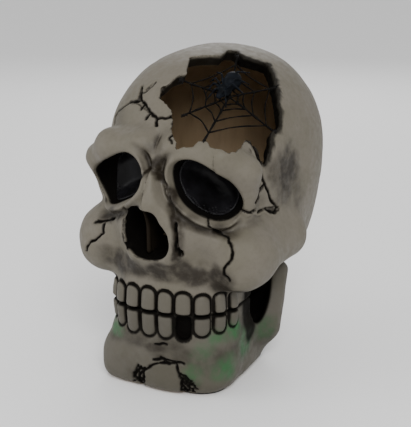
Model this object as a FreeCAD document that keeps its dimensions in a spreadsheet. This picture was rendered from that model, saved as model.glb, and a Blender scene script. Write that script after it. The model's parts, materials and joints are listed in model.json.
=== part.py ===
import FreeCAD, Part
import Sketcher
import math
import os

# Skull ornament for an aquarium, with an air stone inside it.
# Frame: +Z up, the face looks along -Y, the skull's own left is +X, the foot pad's underside is z = 0.

V = FreeCAD.Vector
doc = FreeCAD.newDocument("skull_ornament")

# ------------------------------------------------------------------ driving dimensions, in mm
SIZES = {
    # resin casting
    "wall": 5.5, "floor_height": 49, "cavity_floor": 54,
    "face_half": 33, "face_front": 47, "face_back": 5, "face_low": 52, "face_high": 113, "face_round": 9,
    "nasal_bore": 5, "nasal_height": 75, "nasal_front": 47, "nasal_long": 22,
    "beyond": 100, "through": 20, "socket_pitch": 42, "socket_yaw": 5,
    "shelf_left": 4, "shelf_front": 61, "shelf_low": 78.5,
    "shelf_wide": 34, "shelf_deep": 32, "shelf_high": 30,
    "window_depth": 12, "window_proud": 14,
    # tooth band
    "band_half": 30, "band_front": 50, "band_back": -12, "band_corner": 23, "band_end": 9,
    "bite": 38, "palate_high": 58, "palate_low": 52, "mouth_half": 17, "mouth_front": 33,
    "tooth_wide": 7.7, "tooth_deep": 7, "tooth_high": 9.5, "tooth_pitch": 8.4, "tooth_proud": 1.2,
    "tooth_round": 1.6, "bite_gap": 0.5, "lower_band": 26,
    # jaw
    "jaw_half": 32, "jaw_front": 50, "jaw_back": 20, "jaw_corner": 19, "jaw_rear_corner": 8,
    "jaw_high": 29, "jaw_roll": 7, "jaw_low": 1,
    "hollow_half": 18, "hollow_front": 30, "hollow_back": 12, "hollow_corner": 5,
    "ramus_in": 27, "ramus_thick": 7, "ramus_front": 2, "ramus_deep": 18, "ramus_low": 12, "ramus_round": 3,
    # underside
    "plate_half": 25, "plate_front": 40, "plate_back": 15, "plate_corner": 8, "plate_thick": 3,
    "plate_gap": 0.2, "pad_thick": 1, "pad_inset": 1.5,
    "screw_across": 21.5, "screw_front": 30, "screw_rear": 8, "screw_bore": 1.45, "screw_length": 9,
    "head_bore": 2.6, "head_high": 1.3, "head_size": 2.5,
    # dowels
    "dowel_size": 2, "dowel_length": 14, "dowel_across": 30.5, "dowel_back": 12,
    # air line
    "inlet_high": 12, "bush_size": 5, "flange_size": 7.5, "flange_thick": 1.5, "nut_size": 8, "nut_thick": 3,
    "socket_bore": 2.55, "shaft_size": 2.5, "air_bore": 1.25, "spigot_size": 2, "spigot_length": 6,
    "elbow_ball": 4, "elbow_reach": 6, "stub_size": 2.1, "stub_length": 16, "collar_size": 3.2,
    "ring_seat": 1.7, "ring_wire": 0.8,
    "tube_outer": 3, "tube_inner": 2, "tube_bend": 16, "tube_top": 62,
    "grommet_size": 8, "grommet_flange": 9.5, "grommet_low": 50.5, "grommet_high": 59.5,
    "stone_size": 7, "stone_length": 24, "stone_low": 64,
    # web and spider
    "strand": 0.36, "ring_strand": 0.31, "node_bead": 0.55, "hub_bead": 1.1, "knot_size": 1.6,
    "leg_wire": 0.45, "chest_size": 2.9, "head_ball": 1.9, "abdomen_size": 4.6,
    "cup_wall": 1.6, "cup_front": 40, "cup_slant": 20,
}

# Rounded masses of the casting: centre x, y, z and radius x, y, z.
MASSES = {
    "cranium": (0, 12, 97, 47, 54.5, 53),
    "temple": (25, 20, 66, 17, 24, 20),
    "brow": (21, -41, 110, 17, 9.5, 7.5),
    "orbit": (36, -33.5, 94, 6.5, 8.5, 17),
    "cheek": (31.5, -33, 67, 14, 13.5, 14.5),
    "zygoma": (38, -13, 65.5, 12.8, 27, 12),
    "nose": (0, -43.5, 83, 11, 17, 20),
    "nostril": (0, -58, 77, 10.5, 18, 12),
    "socket": (23, -48, 95.3, 17.8, 22, 10.4),
    "chin": (0, -43, 12, 17, 10, 12),
}

# The broken edge of the window, in the window's own plane: first to the skull's left, then up.
WINDOW_CENTRE = V(20.4, -19.9, 130)
WINDOW_OUT = V(0.513, -0.437, 0.739)
WINDOW_OUTLINE = [
    (-13, 18), (-8, 22), (-4.5, 20.5), (5, 20.5), (12, 28), (16, 25), (18, 21), (26, 17),
    (23.5, 8), (24, 2.5), (22, -12), (21.5, -15), (15.5, -19.5), (13.5, -20), (12.5, -24.5), (10.5, -29),
    (8, -26), (6, -23), (2.5, -21), (0, -22.5), (-7, -30), (-11, -29.5), (-14.5, -27), (-17.5, -23),
    (-20, -22), (-22.5, -23), (-26, -21.5), (-30, -21.5), (-30, -17), (-25, -6), (-24.5, 3),
    (-26, 5.5), (-25.5, 11), (-24.5, 14), (-21.5, 13), (-18, 12.5), (-14.5, 16.5),
]

# The web: its hub, and the rim end of each spoke, in the row frame.
WEB_HUB = V(20.3, -17.8, 131.3)
WEB_ENDS = [
    V(0.9, -25.3, 138.4), V(8.2, -37.4, 125.5), V(21.6, -45.0, 117.2),
    V(40.2, -13.6, 116.8), V(34.3, 0.4, 133.8), V(15.2, 1.6, 146.2),
]
WEB_RINGS = [0.32, 0.56, 0.86]

# The spider: each leg's knee and foot, measured from the middle of its chest.
SPIDER_CHEST = V(18.8, -20.4, 134.2)
SPIDER_LEGS = [
    (V(-5, 0, 2.5), V(-8, -1.5, -1.5)), (V(-5, 2, 4.5), V(-8, 3, 3)),
    (V(-3, 4, 6), V(-6, 6, 7)), (V(-3, -2.5, 0.5), V(-6, -5.5, -4)),
    (V(4, 1, 2.5), V(8.5, 1.5, -0.5)), (V(4, 4, 4.5), V(9, 7, 2.5)),
    (V(3, 7, 7), V(7.5, 11, 7)), (V(2, -3, -0.5), V(4, -6, -6)),
]

sheet = doc.addObject("Spreadsheet::Sheet", "dims")
for name, mass in MASSES.items():
    for key, value in zip(("x", "y", "z", "rx", "ry", "rz"), mass):
        SIZES[f"{name}_{key}"] = value
for row, (alias, value) in enumerate(SIZES.items(), start=1):
    sheet.set(f"A{row}", alias)
    sheet.set(f"B{row}", str(value))
    sheet.setAlias(f"B{row}", alias)
doc.recompute()


def size(alias):
    return float(sheet.get(alias))


# ------------------------------------------------------------------ helpers
BACKWARDS = FreeCAD.Rotation(V(1, 0, 0), -90)
FORWARDS = FreeCAD.Rotation(V(1, 0, 0), 90)


def expanded(formula):
    """Turn "<wall> + 2" into an expression on the sheet."""
    for alias in SIZES:
        formula = formula.replace(f"<{alias}>", f"dims.{alias}")
    return formula


def bind(obj, **formulas):
    """Bind properties to the sheet; x, y and z are the placement's own coordinates."""
    for prop, formula in formulas.items():
        path = f"Placement.Base.{prop}" if prop in ("x", "y", "z") else prop
        obj.setExpression(path, expanded(formula))
    return obj


def ellipsoid(name, mass, side=1, less="0", turn=None):
    obj = doc.addObject("Part::Ellipsoid", name)
    if turn:
        obj.Placement.Rotation = turn
    for prop, radius in (("Radius1", "rz"), ("Radius2", "rx"), ("Radius3", "ry")):
        bind(obj, **{prop: f"<{mass}_{radius}> - {less}"})
    return bind(obj, x=f"{side} * <{mass}_x>", y=f"<{mass}_y>", z=f"<{mass}_z>")


def box(name, length, width, height, x, y, z):
    obj = doc.addObject("Part::Box", name)
    return bind(obj, Length=length, Width=width, Height=height, x=x, y=y, z=z)


def lower_half(name, height):
    """All the space from the floor up to a height."""
    return box(name, "2 * <beyond>", "2 * <beyond>", height, "-<beyond>", "-<beyond>", "0")


def cylinder(name, radius, height, x, y, z, turn=None):
    obj = doc.addObject("Part::Cylinder", name)
    if turn:
        obj.Placement.Rotation = turn
    return bind(obj, Radius=radius, Height=height, x=x, y=y, z=z)


def joined(name, shapes):
    """Fuse the shapes one after another; the last union has the name."""
    whole = shapes[0]
    for step, shape in enumerate(shapes[1:], start=1):
        union = doc.addObject("Part::Fuse", name if step == len(shapes) - 1 else f"{name}_step_{step}")
        union.Base = whole
        union.Tool = shape
        whole = union
    return whole


def mirrored(name, source):
    """The same piece on the other side of the skull's middle plane."""
    obj = doc.addObject("Part::Mirroring", name)
    obj.Source = source
    obj.Normal = V(1, 0, 0)
    return obj


def cut(name, base, tool):
    obj = doc.addObject("Part::Cut", name)
    obj.Base = base
    obj.Tool = tool
    return obj


def group(name, shapes):
    obj = doc.addObject("Part::Compound", name)
    obj.Links = shapes
    return obj


def rounded(name, base, radius, pick=lambda edge: True):
    """Fillet the picked edges of a finished solid."""
    doc.recompute()
    obj = doc.addObject("Part::Fillet", name)
    obj.Base = base
    chosen = [i for i, edge in enumerate(base.Shape.Edges, start=1) if pick(edge)]
    obj.Edges = [(i, size(radius), size(radius)) for i in chosen]
    return obj


def upright(edge):
    ends = edge.Vertexes
    return len(ends) == 2 and abs(ends[0].Z - ends[1].Z) > 0.9 * edge.Length


def origin_plane(body, role):
    return next(item for item in body.Origin.OriginFeatures if item.Role == role)


def slab_sketch(body, name, half, front, back, corner, rear_corner, height):
    """A rounded rectangle, flat at one height: front and back are distances from the origin."""
    sketch = body.newObject("Sketcher::SketchObject", name)
    sketch.AttachmentSupport = [(origin_plane(body, "XY_Plane"), "")]
    sketch.MapMode = "FlatFace"
    w, f, b, r, e = (float(sketch.evalExpression(expanded(item)))
                     for item in (half, front, back, corner, rear_corner))
    quarter = math.pi / 2

    def arc(x, y, radius, start):
        circle = Part.Circle(V(x, y, 0), V(0, 0, 1), radius)
        return Part.ArcOfCircle(circle, start, start + quarter)

    sketch.addGeometry([
        Part.LineSegment(V(-w + r, -f, 0), V(w - r, -f, 0)), arc(w - r, -f + r, r, -quarter),
        Part.LineSegment(V(w, -f + r, 0), V(w, b - e, 0)), arc(w - e, b - e, e, 0),
        Part.LineSegment(V(w - e, b, 0), V(-w + e, b, 0)), arc(-w + e, b - e, e, quarter),
        Part.LineSegment(V(-w, b - e, 0), V(-w, -f + r, 0)), arc(-w + r, -f + r, r, 2 * quarter),
    ], False)
    add = sketch.addConstraint
    for i in range(8):
        add(Sketcher.Constraint("Tangent", i, 2, (i + 1) % 8, 1))
    add(Sketcher.Constraint("Horizontal", 0))
    add(Sketcher.Constraint("Horizontal", 4))
    add(Sketcher.Constraint("Vertical", 2))
    add(Sketcher.Constraint("Vertical", 6))
    add(Sketcher.Constraint("Equal", 1, 7))
    add(Sketcher.Constraint("Equal", 3, 5))
    driven = [
        ("right", add(Sketcher.Constraint("DistanceX", -1, 1, 2, 1, w)), half),
        ("left", add(Sketcher.Constraint("DistanceX", 6, 1, -1, 1, w)), half),
        ("front", add(Sketcher.Constraint("DistanceY", 0, 1, -1, 1, f)), front),
        ("back", add(Sketcher.Constraint("DistanceY", -1, 1, 4, 1, b)), back),
        ("corner", add(Sketcher.Constraint("Radius", 1, r)), corner),
        ("rear", add(Sketcher.Constraint("Radius", 3, e)), rear_corner),
    ]
    for label, index, formula in driven:
        sketch.renameConstraint(index, label)
        bind(sketch, **{f"Constraints.{label}": formula})
    bind(sketch, **{"AttachmentOffset.Base.z": height})
    return sketch


def slab(body, name, half, front, back, corner, rear_corner, low, high):
    sketch = slab_sketch(body, name + "_outline", half, front, back, corner, rear_corner, low)
    pad = body.newObject("PartDesign::Pad", name)
    pad.Profile = sketch
    bind(pad, Length=f"{high} - ({low})")
    return pad


def slab_pocket(body, name, half, front, back, corner, rear_corner, low, high):
    """Cut a rounded rectangle upwards from low to high."""
    sketch = slab_sketch(body, name + "_outline", half, front, back, corner, rear_corner, low)
    pocket = body.newObject("PartDesign::Pocket", name)
    pocket.Profile = sketch
    pocket.Reversed = True
    bind(pocket, Length=f"{high} - ({low})")
    return pocket


def turned_body(name, axis_role, points):
    """A PartDesign revolution of (radius, along) points about the body's Y or Z axis."""
    body = doc.addObject("PartDesign::Body", name)
    sketch = body.newObject("Sketcher::SketchObject", name + "_profile")
    flat = axis_role == "Y_Axis"
    sketch.AttachmentSupport = [(origin_plane(body, "XY_Plane" if flat else "XZ_Plane"), "")]
    sketch.MapMode = "FlatFace"
    corners = [V(r, along, 0) for r, along in points]
    for start, end in zip(corners, corners[1:] + corners[:1]):
        sketch.addGeometry(Part.LineSegment(start, end), False)
    turn = body.newObject("PartDesign::Revolution", name + "_turn")
    turn.Profile = sketch
    turn.ReferenceAxis = (origin_plane(body, axis_role), [""])
    turn.Angle = 360
    return body


def band_place(arc):
    """The point on the tooth band's edge this far from the midline, and the way it faces."""
    r = size("band_corner")
    flat = size("band_half") - r
    side = math.copysign(1, arc)
    arc = abs(arc)
    if arc <= flat:
        return V(side * arc, -size("band_front"), 0), 0.0
    angle = min((arc - flat) / r, math.pi / 2)
    beyond = arc - flat - angle * r
    x = flat + r * math.sin(angle)
    y = -size("band_front") + r - r * math.cos(angle) + beyond
    return V(side * x, y, 0), side * math.degrees(angle)


def teeth(name, low, missing=()):
    """Ten teeth set round the band, each a rounded block standing a little proud of it."""
    made = []
    for index in range(-5, 5):
        if index in missing:
            continue
        spot, facing = band_place((index + 0.5) * size("tooth_pitch"))
        block = doc.addObject("Part::Box", f"{name}_block_{index + 6}")
        bind(block, Length="<tooth_wide>", Width="<tooth_deep>", Height="<tooth_high>")
        turn = FreeCAD.Rotation(V(0, 0, 1), facing)
        corner = turn.multVec(V(-size("tooth_wide") / 2, -size("tooth_proud"), 0))
        block.Placement = FreeCAD.Placement(spot + corner + V(0, 0, low), turn)
        made.append(rounded(f"{name}_{index + 6}", block, "tooth_round"))
    return made


def rod(start, end, radius):
    return Part.makeCylinder(radius, (end - start).Length, start, end - start)


def fused(shapes):
    return shapes[0].multiFuse(shapes[1:])


def feature(name, shape):
    obj = doc.addObject("Part::Feature", name)
    obj.Shape = shape
    return obj


# ------------------------------------------------------------------ upper skull casting
def window_tool():
    out = V(WINDOW_OUT).normalize()
    across = V(-out.y, out.x, 0).normalize()
    up = out.cross(across)
    points = [WINDOW_CENTRE + across * u + up * v - out * size("window_depth") for u, v in WINDOW_OUTLINE]
    face = Part.Face(Part.makePolygon(points + points[:1]))
    return feature("window_prism", face.extrude(out * (size("window_depth") + size("window_proud"))))


def socket_mass(name, less="0"):
    """An eye hole's hollow: long from its upper inner end to its lower outer one, and turned inwards."""
    pitch = FreeCAD.Rotation(V(0, 1, 0), size("socket_pitch"))
    yaw = FreeCAD.Rotation(V(0, 0, 1), size("socket_yaw"))
    return ellipsoid(name, "socket", less=less, turn=pitch.multiply(yaw))


def skull_shell():
    masses = [ellipsoid("cranium", "cranium"), ellipsoid("nose", "nose")]
    for side, label in ((1, "left"), (-1, "right")):
        for mass in ("temple", "brow", "orbit", "cheek", "zygoma"):
            masses.append(ellipsoid(f"{mass}_{label}", mass, side))
    face = box("face_block", "2 * <face_half>", "<face_front> - <face_back>", "<face_high> - <face_low>",
               "-<face_half>", "-<face_front>", "<face_low>")
    masses.append(rounded("face", face, "face_round"))
    head = joined("head_mass", masses)
    head = cut("head_flat", head, lower_half("below_floor", "<floor_height>"))

    palate = doc.addObject("PartDesign::Body", "palate")
    slab(palate, "palate_slab", "<band_half>", "<band_front>", "<band_back>", "<band_corner>", "<band_end>",
         "<bite>", "<palate_high>")
    slab_pocket(palate, "palate_hollow", "<mouth_half>", "<mouth_front>", "4", "<hollow_corner>",
                "<hollow_corner> - 2", "<bite>", "<palate_low>")
    upper = teeth("upper_tooth", size("bite") + size("bite_gap"))
    solid = joined("skull_solid", [head, palate] + upper)

    cavity = ellipsoid("cavity_mass", "cranium", less="<wall>")
    hollow = cut("cavity", cavity, lower_half("cavity_step", "<cavity_floor>"))
    passage = cylinder("nasal_passage", "<nasal_bore>", "<nasal_long>",
                       "0", "-<nasal_front>", "<nasal_height>", BACKWARDS)
    shelf = box("brow_shelf", "<shelf_wide>", "<shelf_deep>", "<shelf_high>",
                "<shelf_left>", "-<shelf_front>", "<shelf_low>")
    window = cut("window", window_tool(), shelf)
    foramen = cylinder("foramen", "<grommet_size>", "<through>", "0", stone_place(), "<floor_height> - 4")
    tools = [hollow, ellipsoid("nostril", "nostril"), passage, window, foramen]
    socket = socket_mass("socket_left")
    tools += [socket, mirrored("socket_right", socket)]
    for side, label in ((1, "left"), (-1, "right")):
        tools.append(cylinder(f"dowel_hole_{label}", "<dowel_size>", "<dowel_length> / 2 + 1",
                              f"{side} * <dowel_across>", "<dowel_back>", "<floor_height> - 1"))
    return cut("skull_shell", solid, joined("skull_tools", tools))


def eye_cup():
    """The left eye's bowl: a thin lining of the eye hole, cut off behind the face."""
    outer = socket_mass("cup_outer", "0.02")
    inner = socket_mass("cup_inner", "<cup_wall>")
    front = doc.addObject("Part::Box", "cup_front")
    bind(front, Length="<beyond>", Width="<beyond>", Height="<beyond>")
    turn = FreeCAD.Rotation(V(0, 0, 1), size("cup_slant"))
    middle = V(size("socket_x"), -size("cup_front"), size("socket_z"))
    half = size("beyond") / 2
    front.Placement = FreeCAD.Placement(middle - turn.multVec(V(half, 2 * half, half)), turn)
    shell = cut("cup_shell", outer, inner)
    return cut("eye_cup_left", shell, front)


# ------------------------------------------------------------------ lower jaw casting
def lower_jaw():
    body = doc.addObject("PartDesign::Body", "jaw_block")
    slab(body, "jaw_slab", "<jaw_half>", "<jaw_front>", "<jaw_back>", "<jaw_corner>", "<jaw_rear_corner>",
         "<jaw_low>", "<jaw_high>")
    block = rounded("jaw_rolled", body, "jaw_roll", lambda edge: edge.BoundBox.ZMax < size("jaw_low") + 0.01)
    band = doc.addObject("PartDesign::Body", "jaw_band")
    slab(band, "band_slab", "<band_half>", "<band_front>", "<band_back>", "<band_corner>", "<band_end>",
         "<lower_band>", "<bite>")
    tooth_low = size("bite") - size("bite_gap") - size("tooth_high")
    parts = [block, band] + teeth("lower_tooth", tooth_low, missing=(1,))
    parts.append(cut("chin_flat", ellipsoid("chin", "chin"), lower_half("below_chin", "<jaw_low>")))
    parts.append(box("rear_wall", "2 * <ramus_in>", "<jaw_back> - <hollow_back>",
                     "<floor_height> - <jaw_high> + 1", "-<ramus_in>", "<hollow_back>", "<jaw_high> - 1"))
    for side, label in ((1, "left"), (-1, "right")):
        middle = "<ramus_in> + <ramus_thick> / 2"
        plate = box(f"ramus_block_{label}", "<ramus_thick>", "<ramus_deep>", "<floor_height> - <ramus_low>",
                    f"{side} * ({middle}) - <ramus_thick> / 2", "<ramus_front>", "<ramus_low>")
        parts.append(rounded(f"ramus_{label}", plate, "ramus_round", upright))
    solid = joined("jaw_solid", parts)

    hollow = doc.addObject("PartDesign::Body", "jaw_hollow")
    slab(hollow, "hollow_slab", "<hollow_half>", "<hollow_front>", "<hollow_back>", "<hollow_corner>",
         "<hollow_corner>", "<jaw_low> - 1", "<bite> + 1")
    recess = doc.addObject("PartDesign::Body", "plate_recess")
    slab(recess, "recess_slab", "<plate_half>", "<plate_front>", "<plate_back>", "<plate_corner>",
         "<plate_corner>", "<jaw_low> - 1", "<jaw_low> + <plate_thick>")
    bore = cylinder("inlet_bore", "<bush_size>", "<through>", "0", "<jaw_back> + 5", "<inlet_high>", FORWARDS)
    tools = [hollow, recess, bore]
    for side, label in ((1, "left"), (-1, "right")):
        place = (f"{side} * <dowel_across>", "<dowel_back>", "<floor_height> - <dowel_length> / 2")
        tools.append(cylinder(f"dowel_seat_{label}", "<dowel_size>", "<dowel_length> / 2 + 1", *place))
        for y, end in (("-<screw_front>", "front"), ("<screw_rear>", "rear")):
            tools.append(cylinder(f"pilot_{end}_{label}", "<screw_bore>", "<screw_length> + 1",
                                  f"{side} * <screw_across>", y, "<jaw_low>"))
    return cut("lower_jaw", solid, joined("jaw_tools", tools))


def jaw_dowels():
    pins = []
    for side, label in ((1, "left"), (-1, "right")):
        place = (f"{side} * <dowel_across>", "<dowel_back>", "<floor_height> - <dowel_length> / 2")
        pins.append(cylinder(f"dowel_{label}", "<dowel_size>", "<dowel_length>", *place))
    return group("jaw_dowels", pins)


# ------------------------------------------------------------------ underside
def base_plate():
    body = doc.addObject("PartDesign::Body", "plate_blank")
    slab(body, "plate_slab", "<plate_half> - <plate_gap>", "<plate_front> - <plate_gap>",
         "<plate_back> - <plate_gap>", "<plate_corner>", "<plate_corner>",
         "<jaw_low>", "<jaw_low> + <plate_thick>")
    holes = []
    for side, label in ((1, "left"), (-1, "right")):
        for y, end in (("-<screw_front>", "front"), ("<screw_rear>", "rear")):
            place = (f"{side} * <screw_across>", y)
            drilled = "<screw_bore> + 0.1"
            holes.append(cylinder(f"plate_hole_{end}_{label}", drilled, "<through>", *place, "0"))
            sunk = "<jaw_low> + <head_high> + 0.1"
            holes.append(cylinder(f"plate_sink_{end}_{label}", "<head_bore>", sunk, *place, "0"))
    return cut("base_plate", body, joined("plate_holes", holes))


def base_screws():
    screws = []
    for side, label in ((1, "left"), (-1, "right")):
        for y, end in (("-<screw_front>", "front"), ("<screw_rear>", "rear")):
            place = (f"{side} * <screw_across>", y)
            low = "<jaw_low> + 0.1"
            head = cylinder(f"screw_head_{end}_{label}", "<head_size>", "<head_high>", *place, low)
            shank = cylinder(f"screw_shank_{end}_{label}", "<screw_bore>", "<screw_length> - 0.5",
                             *place, "<jaw_low> + 0.5")
            screws.append(joined(f"screw_{end}_{label}", [head, shank]))
    return group("base_screws", screws)


def foot_pad():
    body = doc.addObject("PartDesign::Body", "foot_pad")
    inset = "<jaw_roll> + <pad_inset>"
    slab(body, "pad_slab", f"<jaw_half> - {inset}", f"<jaw_front> - {inset}", f"<jaw_back> - {inset}",
         "<plate_corner> + 4", "<plate_corner>", "0", "<pad_thick>")
    return body


# ------------------------------------------------------------------ air line
def inlet_bushing():
    back = size("jaw_back")
    inside = size("hollow_back") - size("nut_thick")
    tip = inside - size("spigot_length")
    deep = back - 7
    body = turned_body("inlet_bushing", "Y_Axis", [
        (size("air_bore"), tip), (size("spigot_size"), tip), (size("spigot_size"), inside),
        (size("bush_size") - 0.02, inside), (size("bush_size") - 0.02, back), (size("flange_size"), back),
        (size("flange_size"), back + size("flange_thick")),
        (size("socket_bore"), back + size("flange_thick")),
        (size("socket_bore"), deep), (size("air_bore"), deep),
    ])
    return bind(body, z="<inlet_high>")


def bushing_nut():
    hexagon = doc.addObject("Part::Prism", "nut_hexagon")
    hexagon.Polygon = 6
    hexagon.Placement.Rotation = FORWARDS
    bind(hexagon, Circumradius="<nut_size>", Height="<nut_thick> - 0.02", x="0", y="<hollow_back> - 0.01",
         z="<inlet_high>")
    middle = ("0", "<hollow_back> + 5", "<inlet_high>")
    hole = cylinder("nut_hole", "<bush_size>", "<through>", *middle, FORWARDS)
    return cut("bushing_nut", hexagon, hole)


def elbow_middle():
    return size("jaw_back") + size("flange_thick") + size("elbow_reach")


def inlet_elbow():
    middle = elbow_middle()
    start = size("jaw_back") - 6.9
    axis, side = V(0, 1, 0), V(-1, 0, 0)
    high = V(0, 0, size("inlet_high"))
    shaft = Part.makeCylinder(size("shaft_size"), middle - start, V(0, start, 0) + high, axis)
    clear_of_flange = V(0, middle - size("elbow_reach") + 0.2, 0) + high
    collar = Part.makeCylinder(size("collar_size"), 2, clear_of_flange, axis)
    ball = Part.makeSphere(size("elbow_ball"), V(0, middle, 0) + high)
    neck = Part.makeCylinder(size("collar_size"), size("elbow_ball") + 2, V(0, middle, 0) + high, side)
    stub = Part.makeCylinder(size("stub_size"), size("elbow_ball") + size("stub_length"),
                             V(0, middle, 0) + high, side)
    seat = Part.makeTorus(size("ring_seat") + size("ring_wire") / 2, size("ring_wire") / 2 + 0.02,
                          V(0, start + 3, 0) + high, axis)
    bore = size("air_bore")
    way_in = Part.makeCylinder(bore, middle - start + 1, V(0, start - 1, 0) + high, axis)
    way_out = Part.makeCylinder(bore, 40, V(0, middle, 0) + high, side)
    solid = fused([shaft, collar, ball, neck, stub])
    return feature("inlet_elbow", solid.cut(fused([seat, way_in, way_out])))


def elbow_ring():
    start = size("jaw_back") - 6.9
    ring = doc.addObject("Part::Torus", "elbow_ring")
    ring.Placement.Rotation = BACKWARDS
    return bind(ring, Radius1="<ring_seat> + <ring_wire> / 2", Radius2="<ring_wire> / 2", x="0",
                y=f"{start} + 3", z="<inlet_high>")


def tube_axis():
    """From the spigot forwards, round one bend, and straight up to the air stone."""
    start = size("hollow_back") - size("nut_thick") - 0.3
    bend_from = start - size("spigot_length")
    radius = size("tube_bend")
    low = size("inlet_high")
    turn = V(0, bend_from, low + radius)
    slope = math.sqrt(0.5)
    middle = turn + V(0, -radius * slope, -radius * slope)
    first = Part.LineSegment(V(0, start, low), V(0, bend_from, low)).toShape()
    bend = Part.Arc(V(0, bend_from, low), middle, V(0, bend_from - radius, low + radius)).toShape()
    last = Part.LineSegment(V(0, bend_from - radius, low + radius),
                            V(0, bend_from - radius, size("tube_top"))).toShape()
    return Part.Wire([first, bend, last])


def air_tube():
    path = tube_axis()
    start = path.Vertexes[0].Point
    solids = []
    for radius in (size("tube_outer"), size("tube_inner")):
        ring = Part.Face(Part.Wire(Part.Circle(start, V(0, 1, 0), radius).toShape()))
        solids.append(path.makePipe(ring))
    return feature("air_tube", solids[0].cut(solids[1]))


def stone_place():
    return f"{size('hollow_back') - size('nut_thick') - 0.3 - size('spigot_length') - size('tube_bend')}"


def tube_grommet():
    y = stone_place()
    long = "<grommet_high> - <grommet_low>"
    plug = cylinder("grommet_plug", "<grommet_size>", long, "0", y, "<grommet_low>")
    lip = cylinder("grommet_lip", "<grommet_flange>", "1.45", "0", y, "<grommet_low>")
    hole = cylinder("grommet_hole", "<tube_outer>", "<through>", "0", y, "<grommet_low> - 5")
    return cut("tube_grommet", joined("grommet_solid", [plug, lip]), hole)


def stone_nipple():
    y = stone_place()
    spigot = cylinder("nipple_spigot", "<spigot_size>", "10", "0", y, "<tube_top> - 6")
    disc = cylinder("nipple_disc", "<spigot_size> + 2", "<stone_low> - <tube_top>", "0", y, "<tube_top>")
    bore = cylinder("nipple_bore", "<air_bore>", "<through>", "0", y, "<tube_top> - 10")
    return cut("stone_nipple", joined("nipple_solid", [spigot, disc]), bore)


def air_stone():
    y = stone_place()
    rod_shape = cylinder("stone_rod", "<stone_size>", "<stone_length>", "0", y, "<stone_low>")
    soft = rounded("stone_soft", rod_shape, "tooth_round", lambda edge: not upright(edge))
    seat = cylinder("stone_seat", "<spigot_size>", "2 + 4", "0", y, "<stone_low> - 2")
    return cut("air_stone", soft, seat)


# ------------------------------------------------------------------ web and spider
def prism(start, way, radius, sides):
    """A straight flat-sided strand, one pair of its flats square to the window."""
    forward = V(way).normalize()
    across = forward.cross(V(WINDOW_OUT) if abs(forward.dot(V(WINDOW_OUT).normalize())) < 0.9 else V(1, 0, 0))
    across.normalize()
    other = forward.cross(across)
    angles = [2 * math.pi * k / sides for k in range(sides)]
    rim = [start + (across * math.cos(a) + other * math.sin(a)) * radius for a in angles]
    return Part.Face(Part.makePolygon(rim + rim[:1])).extrude(way)


def bead(middle, radius):
    """A short eight-sided drum across the web's plane, where strands meet."""
    half = V(WINDOW_OUT).normalize() * radius * 0.8
    return prism(middle - half, half * 2, radius, 8)


def spider_web():
    strands = [prism(WEB_HUB, end - WEB_HUB, size("strand"), 6) for end in WEB_ENDS]
    strands.append(bead(WEB_HUB, size("hub_bead")))
    for ring in WEB_RINGS:
        marks = [WEB_HUB + (end - WEB_HUB) * ring for end in WEB_ENDS]
        for start, end in zip(marks, marks[1:] + marks[:1]):
            strands.append(prism(start, end - start, size("ring_strand"), 6))
            strands.append(bead(start, size("node_bead")))
    return feature("spider_web", fused(strands))


def web_knots():
    blobs = [feature(f"knot_{i}", Part.makeSphere(size("knot_size"), end)) for i, end in enumerate(WEB_ENDS)]
    return group("web_knots", blobs)


def spider_body():
    out = V(WINDOW_OUT).normalize()
    back = V(1.4, 9.6, 4.6)
    chest = Part.makeSphere(size("chest_size"), SPIDER_CHEST)
    head = Part.makeSphere(size("head_ball"), SPIDER_CHEST - back * 0.32)
    abdomen = Part.makeSphere(size("abdomen_size"), SPIDER_CHEST + back * 0.62 + out * 0.6)
    return feature("spider_body", fused([chest, head, abdomen]))


def spider_legs():
    radius = size("leg_wire")
    legs = []
    for knee, foot in SPIDER_LEGS:
        hip = SPIDER_CHEST + knee * 0.3
        bones = [rod(hip, SPIDER_CHEST + knee, radius), rod(SPIDER_CHEST + knee, SPIDER_CHEST + foot, radius)]
        legs.append(fused(bones + [Part.makeSphere(radius, SPIDER_CHEST + knee)]))
    return feature("spider_legs", Part.makeCompound(legs))


# ------------------------------------------------------------------ the ornament
LEFT_CUP = eye_cup()
PIECES = [
    skull_shell(), LEFT_CUP, mirrored("eye_cup_right", LEFT_CUP), lower_jaw(), jaw_dowels(),
    base_plate(), base_screws(), foot_pad(),
    inlet_bushing(), bushing_nut(), inlet_elbow(), elbow_ring(), air_tube(), tube_grommet(),
    stone_nipple(), air_stone(),
    spider_web(), web_knots(), spider_body(), spider_legs(),
]
doc.recompute()

for item in doc.Objects:
    if "Invalid" in item.State or "Error" in item.State:
        raise RuntimeError(f"{item.Label} failed: {item.State}")

os.makedirs("parts", exist_ok=True)
for piece in PIECES:
    shape = piece.Shape
    if shape.isNull() or not shape.isValid() or not shape.Solids:
        raise RuntimeError(f"{piece.Label} has no valid solid")
    print(f"{piece.Label:14} {len(shape.Solids)} solids, {shape.Volume / 1000:.2f} cm3")
    shape.exportStep(f"parts/{piece.Label}.step")
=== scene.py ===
import json
import math

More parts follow.
